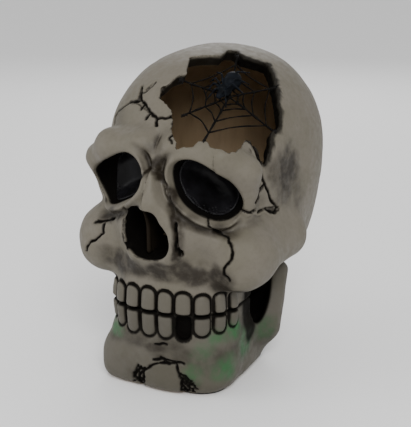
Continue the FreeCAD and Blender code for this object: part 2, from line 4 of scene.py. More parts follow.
import bpy
import numpy as np
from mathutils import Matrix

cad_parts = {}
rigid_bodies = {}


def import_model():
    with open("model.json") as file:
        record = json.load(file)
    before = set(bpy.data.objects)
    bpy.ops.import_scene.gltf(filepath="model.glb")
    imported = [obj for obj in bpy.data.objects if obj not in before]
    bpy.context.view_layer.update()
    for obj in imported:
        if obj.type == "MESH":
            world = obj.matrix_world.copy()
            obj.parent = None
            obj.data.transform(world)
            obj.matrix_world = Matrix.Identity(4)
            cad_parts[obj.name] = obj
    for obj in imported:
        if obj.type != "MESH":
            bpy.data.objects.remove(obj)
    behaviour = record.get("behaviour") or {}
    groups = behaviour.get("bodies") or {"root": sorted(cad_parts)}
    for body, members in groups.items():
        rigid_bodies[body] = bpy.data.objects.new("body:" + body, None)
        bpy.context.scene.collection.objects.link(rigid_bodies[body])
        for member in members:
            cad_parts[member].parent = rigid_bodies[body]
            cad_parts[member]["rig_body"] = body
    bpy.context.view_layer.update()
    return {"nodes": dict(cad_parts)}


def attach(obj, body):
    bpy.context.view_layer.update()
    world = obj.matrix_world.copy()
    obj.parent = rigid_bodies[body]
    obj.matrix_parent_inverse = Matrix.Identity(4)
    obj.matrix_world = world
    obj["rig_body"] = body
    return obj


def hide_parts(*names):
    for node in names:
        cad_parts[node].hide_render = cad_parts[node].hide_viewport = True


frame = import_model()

# The ornament is a hollow cast-resin skull on a hollow jaw, with a broken window in its forehead, a
# wire web across the window and a spider on it. Shapes below are worked in millimetres, in the frame's
# own axes: the face looks along -Y, +X is the skull's left, and the floor is z = 0.
MM = 0.001
F = np.float32
FINE = 0.62          # spacing of the sculpting grid
CUP_FINE, SPIDER_FINE = 0.7, 0.35           # the same for the eye cups and the spider
BLOCK = 4                                   # fine steps in one coarse step
BATCH = 6000                                # coarse cells worked out at a time
SETTLE_TURNS = 2                            # how often new corners are laid on the surface
FAR = 9.0                                   # a distance that counts as away from everything, in mm
MAX_TRIANGLES = {"skull": 196000, "jaw": 120000, "cup": 24000, "spider": 30000}

# Heights, depths and halves of the hollows and fittings that both castings leave room for.
FLOOR_HEIGHT, CAVITY_FLOOR = 49.0, 54.0
JAW_LOW, JAW_BACK = 1.0, 20.0
PLATE_HALF, PLATE_FRONT, PLATE_BACK, PLATE_TOP = 25.0, -40.0, 15.0, 4.0
INLET_HIGH, INLET_BORE = 12.0, 5.0
REAR_WALL, REAR_WALL_HALF = (0, 16, 38), (27, 4, 12)
JAW_HOLLOW = ((0, -9, 20), (18, 21, 22), 4)
TUBE_Y, GROMMET_BORE = -13.3, 8.0

# ---------------- shape kit: distances in mm
# A shape is a function of points p = (x, y, z), three equal arrays, that gives each point's distance
# to the surface, negative inside. Shapes are joined and cut with a soft minimum and maximum.


def join(a, b, soft):
    """Two shapes in one, blended over this width."""
    h = np.maximum(soft - np.abs(a - b), 0) / soft
    return np.minimum(a, b) - h * h * (soft * 0.25)


def meet(a, b, soft):
    """What two shapes have in common, with the corner between them rounded."""
    return -join(-a, -b, soft)


def carve(a, b, soft):
    """a with b taken away."""
    return meet(a, -b, soft)


def mirrored(p):
    """Points with the skull's right side laid over its left."""
    return np.abs(p[0]), p[1], p[2]


def length(parts):
    """The length of a vector from its parts."""
    return np.sqrt(sum(part ** 2 for part in parts))


def columns(points):
    """An array of points as three arrays, as the shapes take them."""
    return tuple(points[:, i].astype(F) for i in range(3))


def turned(p, centre, turn):
    """Points measured from a centre, in axes turned about X, then Y, then Z by these degrees."""
    q = [p[i] - F(centre[i]) for i in range(3)]
    if not any(turn):
        return q
    ax, ay, az = np.radians(turn)
    cx, sx, cy, sy, cz, sz = np.cos(ax), np.sin(ax), np.cos(ay), np.sin(ay), np.cos(az), np.sin(az)
    about_x = np.array([[1, 0, 0], [0, cx, -sx], [0, sx, cx]])
    about_y = np.array([[cy, 0, sy], [0, 1, 0], [-sy, 0, cy]])
    about_z = np.array([[cz, -sz, 0], [sz, cz, 0], [0, 0, 1]])
    m = (about_z @ about_y @ about_x).astype(F)
    return [m[0, i] * q[0] + m[1, i] * q[1] + m[2, i] * q[2] for i in range(3)]


def blob(p, centre, radii, power=2.0, turn=(0, 0, 0)):
    """A superellipsoid: power 2 is an ellipsoid, and a higher power is boxier."""
    q = turned(p, centre, turn)
    a = [np.abs(q[i]) / F(radii[i]) + F(1e-6) for i in range(3)]
    steep = a if power == 2 else [a[i] ** F(power - 1) for i in range(3)]
    total = steep[0] * a[0] + steep[1] * a[1] + steep[2] * a[2]
    f = total ** F(1 / power)
    slope = length(steep[i] / F(radii[i]) for i in range(3)) / f ** F(power - 1)
    return (f - 1) / np.maximum(slope, F(1e-5))


def share_along(q, way):
    """How far along a way each point is, from 0 at its start to 1 at its end."""
    return np.clip((q[0] * way[0] + q[1] * way[1] + q[2] * way[2]) / F(way @ way), 0, 1)


def rod(p, start, end, thick, thick_end=None):
    """A straight rod with round ends, tapering from one radius to the other."""
    a = np.array(start, F)
    d = np.array(end, F) - a
    q = [p[i] - a[i] for i in range(3)]
    t = share_along(q, d)
    gap = length(q[i] - t * d[i] for i in range(3))
    last = thick if thick_end is None else thick_end
    return gap - (F(thick) + F(last - thick) * t)


def block(p, centre, half, edge=0.5):
    """A box with rolled edges."""
    a = [np.abs(p[i] - F(centre[i])) - F(half[i] - edge) for i in range(3)]
    outside = length(np.maximum(a[i], 0) for i in range(3))
    return outside + np.minimum(np.maximum(np.maximum(a[0], a[1]), a[2]), 0) - F(edge)


def rolled(side, up, edge):
    """Two faces that meet at a corner rolled to this radius."""
    a, b = side + edge, up + edge
    return np.sqrt(np.maximum(a, 0) ** 2 + np.maximum(b, 0) ** 2) + np.minimum(np.maximum(a, b), 0) - edge


def slab(p, centre, half, power, low, high, edge):
    """An upright slab whose plan is a superellipse, with rolled edges."""
    a = [np.abs(p[i] - F(centre[i])) / F(half[i]) + F(1e-6) for i in range(2)]
    f = (a[0] ** F(power) + a[1] ** F(power)) ** F(1 / power)
    slope = length(a[i] ** F(power - 1) / F(half[i]) for i in range(2)) / f ** F(power - 1)
    side = (f - 1) / np.maximum(slope, F(1e-5))
    up = np.abs(p[2] - F((low + high) / 2)) - F((high - low) / 2)
    return rolled(side, up, edge)


def near(p, low, high, shape, far=FAR):
    """shape(points) within a box only, and a safe distance for the points outside it."""
    inside = np.ones(p[0].shape, bool)
    for c, a, b in zip(p, low, high):
        inside &= (c > a) & (c < b)
    out = np.full(p[0].shape, far, F)
    if inside.any():
        out[inside] = shape(tuple(c[inside] for c in p))
    return out


def step(x, low, high):
    """A smooth rise from 0 at low to 1 at high."""
    t = np.clip((x - low) / (high - low), 0, 1)
    return t * t * (3 - 2 * t)


def hump(x, middle, width):
    """A smooth bump: 1 at the middle and 0 from this far to either side."""
    t = np.clip(1 - np.abs(x - middle) / width, 0, 1)
    return t * t * (3 - 2 * t)


LATTICE_SIDE = 32
LATTICE = np.random.default_rng(41).random([LATTICE_SIDE] * 3).astype(F) * 2 - 1


def grain(p, size, shift=0.0):
    """Smooth noise between -1 and 1, with lumps of about this size."""
    cell, part = [], []
    for c in p:
        t = c / F(size) + F(shift)
        whole = np.floor(t)
        f = t - whole
        cell.append(whole.astype(np.int32))
        part.append(f * f * (3 - 2 * f))
    total = 0
    for corner in range(8):
        pick = [corner >> i & 1 for i in range(3)]
        weight = [part[i] if pick[i] else 1 - part[i] for i in range(3)]
        place = tuple((cell[i] + pick[i]) % LATTICE_SIDE for i in range(3))
        total = total + weight[0] * weight[1] * weight[2] * LATTICE[place]
    return total


# ---------------- lines drawn on the surface
# Cracks, as broken lines on the surface, in mm.
FOREHEAD_CRACKS = [
    [(-18, -27, 134.5), (-16, -32.5, 129.5), (-23, -31, 127.5), (-28, -29, 123.5), (-32, -27.5, 120),
     (-30.5, -30, 117)],
    [(-16, -31, 132), (-12, -29.5, 134.5), (-11, -27.5, 137)],
    [(-16, -33, 129.5), (-11.5, -35, 128), (-8, -38, 125.5), (-4, -40, 123.5), (0, -40, 124),
     (4, -39, 124.5)],
    [(-8, -38, 125.5), (-9.6, -39.6, 122.8)],
    [(-4.4, -39.8, 123.7), (-2.7, -41.4, 121)],
    [(-13, -34, 128.5), (-13.5, -36, 126)],
    [(4.5, -41, 122.5), (7, -44, 120.5), (8.4, -47, 119), (7.6, -49.5, 117.8), (9.6, -51, 116)],
    [(-5, -33.5, 131), (-2, -32.5, 132.5), (-1.5, -35, 130)],
]
TEMPLE_CRACKS = [
    [(35.8, -38.5, 89.5), (36, -38, 87), (39.4, -36.7, 85), (41.4, -33.3, 85.3), (41, -28, 83.6),
     (39.7, -21.6, 84), (41.7, -17, 81), (42.5, -13.7, 82.3)],
    [(33.5, -27.9, 115.3), (35.3, -26.6, 113), (36, -25.5, 109), (38, -24.6, 106.3), (38.5, -24.5, 101),
     (39.6, -22.9, 95.9), (41.5, -19, 88), (42.5, -13.7, 82.3)],
    [(39.4, -23.5, 95), (40, -28, 92.5), (41, -32.5, 89.5)],
]
CHEEK_CRACKS = [
    [(23.3, -45.8, 83.6), (23.9, -45.5, 80.9), (26.4, -44.7, 77.7), (29.5, -44.7, 76.5), (32.5, -44.3, 75),
     (34.5, -45, 73), (35.2, -45.4, 70.5), (34.1, -45.9, 66), (31.2, -45.7, 62.6), (31, -44.5, 60),
     (32.4, -43, 57.4)],
    [(13.5, -53.7, 71), (14.2, -52.3, 67.4)],
    [(12.4, -53, 82), (13.2, -53, 77.5), (12.8, -53.5, 73), (13.4, -53.5, 67.5)],
    [(-30.5, -45.2, 73.6), (-30.1, -46, 69.6), (-33, -46, 66.5), (-36.2, -45.5, 64.4), (-38.5, -43.8, 60.2)],
    [(-24, -46, 77.5), (-30, -44.5, 75), (-34, -42, 73.5)],
]
CHIN_CRACKS = [
    [(-9.6, -49, 3), (-8.6, -49.6, 6.5), (-6.4, -50, 9.2), (-3.2, -50.5, 12), (-0.6, -50.5, 14),
     (2.4, -50.5, 15.4), (6, -50.5, 16), (10.2, -50.2, 16.4), (11, -50.3, 14), (11.4, -50.3, 11.5),
     (12.8, -50.1, 8.6), (12.4, -49.2, 5.2), (11.6, -48, 2.5)],
    [(-0.5, -50.6, 16.4), (4, -50.6, 17.6), (9, -50.4, 17.2), (13.9, -50, 16.8)],
    [(3, -50.6, 18.1), (7.5, -50.5, 15.6)],
    [(0.5, -50.8, 24.2), (6, -50.7, 24.8)],
]

# Dark wedges where a crack opens out: its two ends and the radius at each.
WEDGES = [
    ((-18.3, -26.5, 135), (-16, -33, 129.5), 0.5, 1.5),
    ((-16, -33.3, 129.3), (-9, -37.6, 126), 1.5, 0.5),
    ((-16.5, -33, 129), (-22, -31.5, 127.5), 1.2, 0.4),
    ((-5.5, -30, 134.5), (-4, -34, 131), 1.3, 0.7),
    ((42.5, -13.7, 82.3), (40, -20.5, 84), 1.1, 0.4),
    ((-14, -29.5, 134), (-11, -27.5, 137), 0.8, 0.3),
]


LINE_REACH = 3                              # how far from a line it is still worked out
LINE_DEPTH = 5                              # how deep a drawn line still counts as near
HEAD_MIDDLE, HEAD_MIDDLE_HEIGHT = (0, 8), 97


def drawn_gap(p, points):
    """Distance to a broken line, across it. Each stretch's depth points away from the head's middle."""
    gap = None
    for a, b in zip(points[:-1], points[1:]):
        a, b = np.array(a, F), np.array(b, F)
        middle = (a + b) / 2
        out = middle - np.array((*HEAD_MIDDLE, min(middle[2], HEAD_MIDDLE_HEIGHT)), F)
        out /= np.linalg.norm(out)
        d = b - a
        d = d - out * (d @ out)
        q = [p[i] - a[i] for i in range(3)]
        depth = q[0] * out[0] + q[1] * out[1] + q[2] * out[2]
        q = [q[i] - depth * out[i] for i in range(3)]
        t = share_along(q, d)
        across = length(q[i] - t * d[i] for i in range(3))
        across = across + np.maximum(np.abs(depth) - LINE_DEPTH, 0)
        gap = across if gap is None else np.minimum(gap, across)
    return gap


def crooked(p):
    """Points pushed a little to and fro, so that what is drawn with them comes out ragged."""
    return tuple(p[i] + 0.5 * grain(p, 2.0, 0.2 + 0.3 * i) for i in range(3))


def box_round(points, reach):
    """The low and the high corner of the box this far round some points."""
    low = [min(v[i] for v in points) - reach for i in range(3)]
    high = [max(v[i] for v in points) + reach for i in range(3)]
    return low, high


def lines_gap(p, lines):
    """The least distance to any of several drawn lines, made a little crooked."""
    best = np.full(p[0].shape, FAR, F)
    p = crooked(p)
    for points in lines:
        best = np.minimum(best, near(p, *box_round(points, LINE_REACH), lambda q: drawn_gap(q, points)))
    return best


CHIN_FRONT = -49.5                          # the depth at which the chin's small cracks are drawn


def hatching(seed, count, low, high):
    """Short cracks at random within a patch of the chin, most of them running down and outwards."""
    chance = np.random.default_rng(seed)
    lines = []
    for _ in range(count):
        x, z = chance.uniform(low[0], high[0]), chance.uniform(low[1], high[1])
        dx, dz = chance.uniform(-2.2, 2.2), chance.uniform(-3.2, 1.2)
        mid = (x + dx * 0.5 + chance.uniform(-0.7, 0.7), z + dz * 0.5)
        lines.append([(x, CHIN_FRONT, z), (mid[0], CHIN_FRONT, mid[1]), (x + dx, CHIN_FRONT + 0.5, z + dz)])
    return lines


def roots(seed, count, low, high, lean):
    """Crooked cracks that wander down and outwards over a patch of the chin."""
    chance = np.random.default_rng(seed)
    lines = []
    for _ in range(count):
        x, z = chance.uniform(low[0], high[0]), chance.uniform(low[1], high[1])
        line = [(x, CHIN_FRONT, z)]
        for _ in range(4):
            x += chance.uniform(-1.3, 1.3) + lean
            z -= chance.uniform(0.1, 2.3)
            line.append((x, CHIN_FRONT, z))
        lines.append(line)
    return lines


CHIN_ROOTS = roots(5, 8, (-9, 7), (-3.5, 13), -0.75) + roots(9, 7, (11.5, 8), (14, 13), 0.8)
CHIN_HATCHING = hatching(5, 8, (-12.5, 3), (-6.5, 9)) + hatching(9, 9, (12.5, 2.5), (18.5, 8))
SKULL_CRACKS = FOREHEAD_CRACKS + TEMPLE_CRACKS + CHEEK_CRACKS
JAW_CRACKS = CHIN_CRACKS + CHIN_ROOTS + CHIN_HATCHING

# ---------------- the broken window
# Its outline is drawn in its own plane, across and up from its middle, in mm. The brow stands in it.
WINDOW_CENTRE = np.array((20.4, -19.9, 130.0))
WINDOW_OUT = np.array((0.513, -0.437, 0.739)) / np.linalg.norm((0.513, -0.437, 0.739))
WINDOW_ACROSS = np.array((-WINDOW_OUT[1], WINDOW_OUT[0], 0))
WINDOW_ACROSS = WINDOW_ACROSS / np.linalg.norm(WINDOW_ACROSS)
WINDOW_UP = np.cross(WINDOW_OUT, WINDOW_ACROSS)
WINDOW_OUTLINE = [
    (-12, 21), (-10.5, 24.5), (-8, 28), (-2, 26.5), (5, 24), (11, 30), (15, 29), (15.5, 23), (20.5, 20.5),
    (26, 19), (26, 13.5), (24, 3), (22.5, -8), (21.5, -14), (19.5, -16), (16, -17), (14.5, -19.5),
    (13, -24.5), (10.5, -29), (8.5, -28), (7, -24.5), (5.5, -22.5), (2.5, -20.2), (0.5, -22.5), (-6.5, -29.5),
    (-11, -30.5), (-13.5, -28.5), (-17, -26), (-18, -21.5), (-20.5, -20.5), (-23, -22.5), (-29.5, -21),
    (-29.5, -16), (-25.5, -5), (-25, 0.5), (-27, 7.5), (-27, 10), (-25, 13), (-21.5, 14.5), (-18, 16.5),
    (-14.5, 16),
]
WINDOW_DEPTH = 15                           # how far the cut reaches in and out of its middle
BROW_SHELF = ((21, -45, 93.5), (17, 16, 15))


def outline_gap(u, v, points):
    """Signed distance to a closed outline, negative inside."""
    best = np.full(u.shape, 1e9, F)
    inside = np.zeros(u.shape, bool)
    for (ax, ay), (bx, by) in zip(points, points[1:] + points[:1]):
        ex, ey = bx - ax, by - ay
        wx, wy = u - F(ax), v - F(ay)
        t = np.clip((wx * ex + wy * ey) / F(ex * ex + ey * ey), 0, 1)
        best = np.minimum(best, (wx - t * ex) ** 2 + (wy - t * ey) ** 2)
        if ay != by:
            inside ^= ((v > ay) != (v > by)) & (wx < wy * (ex / ey))
    return np.where(inside, -1, 1) * np.sqrt(best)


def window_gap(p):
    """Distance to the broken hole, a prism with a ragged outline, and FAR well away from it."""
    def prism(q):
        r = [q[i] - F(WINDOW_CENTRE[i]) for i in range(3)]
        u = sum(r[i] * F(WINDOW_ACROSS[i]) for i in range(3))
        v = sum(r[i] * F(WINDOW_UP[i]) for i in range(3))
        w = sum(r[i] * F(WINDOW_OUT[i]) for i in range(3))
        rough = 0.35 * grain(q, 1.4) + 0.5 * grain(q, 3.1, 0.4)
        hole = outline_gap(u + rough, v + 0.4 * grain(q, 2.3, 0.7), WINDOW_OUTLINE)
        hole = np.maximum(hole, np.abs(w) - WINDOW_DEPTH)
        return carve(hole, block(q, *BROW_SHELF), 0.6)
    return near(p, (-18, -62, 92), (58, 26, 160), prism)


# ---------------- teeth
BAND_HALF, BAND_FRONT, BAND_CORNER, BAND_END = 30.0, 50.0, 23.0, -13.0
TOOTH_PITCH, MIDLINE = 8.4, 0.8
TEETH = 10
MISSING_TOOTH = 6

# Each tooth from the skull's right to its left: its share of the pitch, its length, how far it stands out.
# A row of teeth is these, the height of their tips, and 1 if their roots are above the tips or -1 if below.
UPPER = ([
    (0.84, 8.2, 0.9), (0.92, 8.8, 1.0), (0.95, 9.4, 1.2), (1.0, 10.0, 1.3), (1.02, 10.2, 1.4),
    (1.02, 9.8, 1.4), (1.0, 9.9, 1.3), (1.0, 8.9, 1.3), (0.84, 9.0, 1.1), (0.8, 9.0, 1.0),
], 39.6, 1)
LOWER = ([
    (0.84, 7.4, 0.8), (0.88, 8.6, 0.9), (0.9, 9.8, 1.1), (0.96, 10.7, 1.2), (1.0, 10.7, 1.3),
    (1.02, 10.4, 1.3), (0.98, 10.6, 0.0), (1.02, 8.7, 1.2), (0.88, 7.9, 1.1), (0.82, 7.2, 0.9),
], 38.0, -1)


def band_place(p):
    """How far round the tooth band a point is from the midline, and how far outside the band."""
    flat, back = BAND_HALF - BAND_CORNER, BAND_CORNER - BAND_FRONT
    ax = np.abs(p[0])
    dx, dy = ax - flat, back - p[1]
    angle = np.arctan2(np.maximum(dx, 0), np.maximum(dy, F(1e-6)))
    corner = (dx > 0) & (dy > 0)
    quarter = BAND_CORNER * np.pi / 2
    along = np.where(corner, flat + BAND_CORNER * angle, np.where(dy <= 0, flat + quarter - dy, ax))
    straight = np.where(dy <= 0, ax - BAND_HALF, dy - BAND_CORNER)
    out = np.where(corner, np.hypot(dx, dy) - BAND_CORNER, straight)
    return along * np.sign(p[0]), out


def tooth_place(p, row, tip, rising):
    """Distances to the nearest tooth's outline, to its front and to the band, and the tooth's number."""
    along, out = band_place(p)
    number = np.clip(np.floor((along - MIDLINE) / TOOTH_PITCH).astype(np.int32) + TEETH // 2, 0, TEETH - 1)
    share, long, proud = (np.array([tooth[i] for tooth in row], F)[number] for i in range(3))
    u = along - MIDLINE - (number - F(TEETH / 2 - 0.5)) * F(TOOTH_PITCH)
    half = TOOTH_PITCH / 2 * share - 0.6
    high = (p[2] - tip) * rising
    root = high > long / 2
    corner = np.where(root, half * 0.96, 1.3)
    a = np.abs(u) - half + corner
    b = np.abs(high - long / 2) - long / 2 + corner
    face = np.hypot(np.maximum(a, 0), np.maximum(b, 0)) + np.minimum(np.maximum(a, b), 0) - corner
    bulge = proud + 0.9 - 1.2 * (u / half) ** 2
    bulge = bulge - 0.9 * (np.maximum(high, 0) / long) ** 2 + 0.12 * grain(p, 2.6, 0.2)
    return face, out - bulge, out, number


def tooth_row(p, row, tip, rising):
    """Distance to a whole row of teeth, and to their outlines seen from in front."""
    face, front, out, number = tooth_place(p, row, tip, rising)
    if rising < 0:
        face = np.where(number == MISSING_TOOTH, FAR, face)
    tooth = meet(face, front, 1.4)
    return np.maximum(tooth, -out - 5), face


def gum_wall(p, low, high, face):
    """The arch that carries a row of teeth, grooved around each tooth."""
    _, out = band_place(p)
    up = np.abs(p[2] - F((low + high) / 2)) - F((high - low) / 2)
    wall = rolled(np.maximum(out, p[1] - BAND_END), up, 1.5)
    return wall + 0.7 * hump(face, 0.35, 0.75)


# ---------------- skull casting
SOCKET_LEFT = ((23.2, -48, 95.2), (17.5, 22, 9.9), 2.15, (0, 42, 3))
SOCKET_RIGHT = ((-20.2, -49.5, 96.3), (16.0, 22, 9.8), 3.6, (0, -29, 8))
TEMPLE_HOLLOW = ((51, -7, 98), (6, 17, 20))
NOSE_PLATE = [
    (0, 103.5), (4.5, 99.5), (8, 95.5), (9.2, 89), (11.5, 79), (12.4, 70), (9, 62),
    (-9, 62), (-12.4, 70), (-12.2, 79), (-11.7, 86), (-6.3, 93.5),
]


def head_mass(p):
    """The outside of the skull without its holes: cranium, brows, cheeks, nose and muzzle."""
    q = mirrored(p)
    d = blob(p, (0, 9.6, 97), (46.5, 54.8, 52.4), 2.25)
    d = join(d, blob(p, (0, 25.6, 101), (42, 37.4, 42.5), 2.2), 14)
    d = meet(d, FLOOR_HEIGHT - p[2], 9)
    d = join(d, blob(q, (25, 20, 66), (15, 22, 18), 2.2), 14)
    d = meet(d, 47 - p[2], 5)
    d = join(d, blob(p, (0, -22, 82), (33, 27, 32), 2.8), 10)
    d = join(d, rod(q, (9, -45.5, 112), (26, -41, 109.5), 7, 6.5), 8)
    d = join(d, rod(q, (26, -41, 109.5), (36, -35, 103), 6.5, 5), 6)
    d = join(d, rod(q, (36.5, -35.5, 103), (33.4, -30.5, 84), 5, 3.6), 5)
    d = join(d, blob(q, (32, -34, 63.4), (14, 12, 14.2), 2.3), 6)
    d = join(d, rod(q, (36, -26, 65), (41, 0, 66), 12, 9.5), 10)
    d = join(d, rod(p, (0, -44, 104), (0, -55, 90), 6, 5), 7)
    d = join(d, blob(p, (0, -42, 76), (19, 15, 20), 2.4), 8)
    return d


def nose_bone(p):
    """The bridge that ends in a point over the nose hole, and the two ridges beside the hole."""
    q = mirrored(p)
    bridge = rod(p, (0.8, -50.5, 103), (-0.8, -56.2, 90.5), 2.5, 4.2)
    ridge = rod(q, (4, -53, 92), (10.6, -51.5, 76), 3.6, 3.0)
    foot = rod(q, (10.2, -51.5, 75), (8, -52.5, 66), 3, 2.4)
    return join(join(bridge, ridge, 4), foot, 3)


def socket(p):
    """The eye holes: the right one is the squarer."""
    return np.where(p[0] > 0, blob(p, *SOCKET_LEFT), blob(p, *SOCKET_RIGHT))


def nose_hole(p):
    """The open nose: a wide low part and a narrower high one."""
    low = blob(p, (-0.6, -58, 73.5), (10.8, 18, 9), 2.4)
    high = blob(p, (-2.9, -58, 79.5), (9.0, 18, 9), 2.8)
    corner = rod(p, (-8, -62, 69.5), (-13, -52, 69), 2.4, 1.4)
    return join(join(low, high, 3), corner, 1.5) + 0.25 * grain(p, 2.4, 0.5)


def lower_rim(p):
    """1 beside the inner and lower edge of an eye hole, and 0 beside its other edges."""
    q = mirrored(p)
    return step(-(q[0] - 22.5) * 0.75 - (q[2] - 95.5) * 0.65, -8, 8) * step(-q[1], 34, 40)


def rim_swell(p, gap):
    """How far the rim of an eye hole is raised, with a groove outside the raised part."""
    return lower_rim(p) * (1.5 * hump(gap, 1.5, 1.7) - 1.9 * hump(gap, 4.6, 2.5))


def nose_plate_gap(p):
    """Distance to the outline of the pointed plate of bone over the nose, seen from in front."""
    return near(p, (-16, -64, 60), (16, -40, 108), lambda q: outline_gap(q[0], q[2], NOSE_PLATE))


def brain_room(p):
    """The hollow inside the cranium, with the backs of the eye holes standing into it."""
    d = blob(p, (0, 10.5, 97), (41, 49.6, 46.6), 2.25)
    d = join(d, blob(p, (0, 26, 101), (36, 32.8, 36.8), 2.2), 12)
    d = carve(d, socket(p) - 3.2, 3)
    d = meet(d, CAVITY_FLOOR - p[2], 3)
    return d + 0.35 * grain(p, 12, 0.3)


def skull(p):
    """The skull casting."""
    eye = socket(p)
    upper, face = tooth_row(p, *UPPER)
    d = head_mass(p)
    d = join(d, nose_bone(p), 3)
    d = join(d, gum_wall(p, 38.6, 60, face), 5)
    d = carve(d, blob(mirrored(p), (22, -54, 62), (8, 5, 9), 2), 5)
    d = carve(d, blob(mirrored(p), *TEMPLE_HOLLOW), 5)
    d = lumpy(d, p, 0.0, 0.6)
    d = d - near(p, (-46, -62, 74), (46, -25, 122), lambda q: rim_swell(q, socket(q)), 0.0)
    d = d + frown(p)
    plate = nose_plate_gap(p)
    fade = step(p[2], 63, 70)
    d = d - fade * (0.5 * step(-plate, -0.5, 0.4) - 1.0 * hump(plate, 1.1, 1.0))
    # Cracks, dark wedges and the plate over the left eye.
    gap = lines_gap(p, SKULL_CRACKS)
    d = d + 1.15 * np.clip(1 - gap / 0.75, 0, 1) - 0.22 * hump(gap, 1.4, 0.8)
    for start, end, thick, thin in WEDGES:
        d = carve(d, near(p, *box_round((start, end), 5), lambda q: rod(q, start, end, thick, thin)), 0.5)
    d = d - 0.8 * plates(p)
    # Teeth, then the holes: eyes, nose with its septum, palate, cranium, tube and window.
    d = np.minimum(d, upper)
    d = carve(d, eye, 1.6)
    d = carve(d, nose_hole(p), 0.7)
    d = carve(d, rod(p, (0, -50, 76), (0, -20, 76), 4.5), 1.5)
    d = np.minimum(d, septum(p))
    d = carve(d, block(p, (0, -14.5, 45), (17, 18.5, 7), 3), 1)
    d = carve(d, brain_room(p), 1)
    d = carve(d, rod(p, (0, TUBE_Y, 45), (0, TUBE_Y, 56), GROMMET_BORE + 0.1), 0.3)
    return carve(d, window_gap(p), 0.5)


def lumpy(d, p, shift, fine_shift):
    """A shape with the low lumps of a casting's surface."""
    return d + 0.28 * grain(p, 11, shift) + 0.14 * grain(p, 4.5, fine_shift)


def plates(p):
    """Where the plate over the left eye stands proud of the temple: 0.9 on the plate and 0 beside it."""
    def brow_plate(q):
        edge = -(q[0] - 36) * 0.35 + (q[1] + 26) * -0.8 + (104 - q[2]) * 0.05
        return step(edge, -0.4, 0.5) * step(q[2], 84, 88) * (1 - step(q[2], 112, 116)) * 0.9
    return near(p, (28, -50, 82), (50, -10, 118), brow_plate, 0.0)


def frown(p):
    """Creases between the brows and beside the nose, and the hollow over the teeth: positive cuts in."""
    def creases(q):
        d = 0.9 * np.clip(1 - rod(q, (2.5, -51, 109), (7, -52.5, 98), 0) / 2.2, 0, 1) ** 2
        d = d + 0.4 * np.clip(1 - rod(q, (-4.5, -51, 109), (-2.5, -52.5, 103), 0) / 2.4, 0, 1) ** 2
        for side in (1, -1):
            line = rod(q, (side * 13.5, -52, 84), (side * 14, -51, 68), 0)
            d = d + 1.1 * np.clip(1 - line / 2.6, 0, 1) ** 2
        return d
    return near(p, (-22, -60, 62), (22, -40, 116), creases, 0.0)


def septum(p):
    """The thin wall that divides the nose hole, set back from its rim."""
    def wall(q):
        bent = (q[0] + 2.3 + 0.028 * np.maximum(q[2] - 77, 0) ** 2, q[1], q[2])
        plate = block(bent, (0, -43, 77), (0.6, 8, 11), 0.5)
        return join(plate, rod(bent, (0, -51.5, 87), (0, -51, 67.5), 0.7, 0.9), 1)
    return near(p, (-8, -60, 62), (5, -34, 92), wall)


# ---------------- jaw casting
def jaw(p):
    """The jaw casting, which is also the foot of the ornament."""
    q = mirrored(p)
    lower, face = tooth_row(p, *LOWER)
    d = slab(p, (-0.8, -14), (31.4, 36.5), 3.2, -1, 30, 8)
    d = join(d, blob(p, (18.3, -34, 13), (12.2, 12.4, 12.5), 2.4), 6)
    d = join(d, blob(p, (-20.5, -37, 10), (12, 12.4, 11.5), 2.9), 6)
    d = join(d, blob(p, (1, -43, 11), (13, 8.6, 12), 2.4), 5)
    d = join(d, rod(q, (28.6, 5, 18), (33, 12.5, 44), 8.6, 4.8), 7)
    d = join(d, block(p, REAR_WALL, REAR_WALL_HALF, 1.5), 4)
    d = join(d, gum_wall(p, 24, 38.8, face), 5)
    d = lumpy(d, p, 0.5, 0.1)
    gap = lines_gap(p, JAW_CRACKS)
    d = d + 1.0 * np.clip(1 - gap / 0.7, 0, 1) - 0.2 * hump(gap, 1.3, 0.8)
    # Teeth, then the holes: missing tooth, gaps behind the teeth, hollow, plate pocket and inlet.
    d = np.minimum(d, lower)
    d = carve(d, missing_tooth(p), 0.8)
    d = carve(d, jaw_notch(p), 1.5)
    d = carve(d, block(p, *JAW_HOLLOW), 1)
    pocket_middle = (0, (PLATE_FRONT + PLATE_BACK) / 2, 0)
    pocket_half = (PLATE_HALF, (PLATE_BACK - PLATE_FRONT) / 2, PLATE_TOP)
    d = carve(d, block(p, pocket_middle, pocket_half, 0.4), 0.2)
    d = carve(d, rod(p, (0, 5, INLET_HIGH), (0, 40, INLET_HIGH), INLET_BORE), 0.2)
    d = meet(d, p[1] - JAW_BACK, 1)
    d = meet(d, p[2] - FLOOR_HEIGHT, 0.6)
    return meet(d, JAW_LOW - p[2], 1.2)


def jaw_notch(p):
    """The dark gap on each side between the last teeth and the back of the jaw."""
    q = mirrored(p)
    return join(blob(q, (25, 0, 42), (7, 12, 17)), blob(q, (27.5, -4.5, 37), (6, 9, 15)), 3)


def missing_tooth(p):
    """The empty socket of the missing lower tooth."""
    face, _, out, number = tooth_place(p, *LOWER)
    hole = np.maximum(np.where(number == MISSING_TOOTH, face, FAR), -out - 3.2)
    return hole + 0.25 * grain(p, 1.8)


def eye_cup(p):
    """A gloss black bowl that lines an eye hole and thins towards its front edge."""
    eye = socket(p)
    under = -head_mass(p)
    cup = np.maximum(eye + 0.05, -(eye + 0.9 + 0.8 * step(under, 4, 14)))
    return meet(cup, 4.5 - under, 0.4)


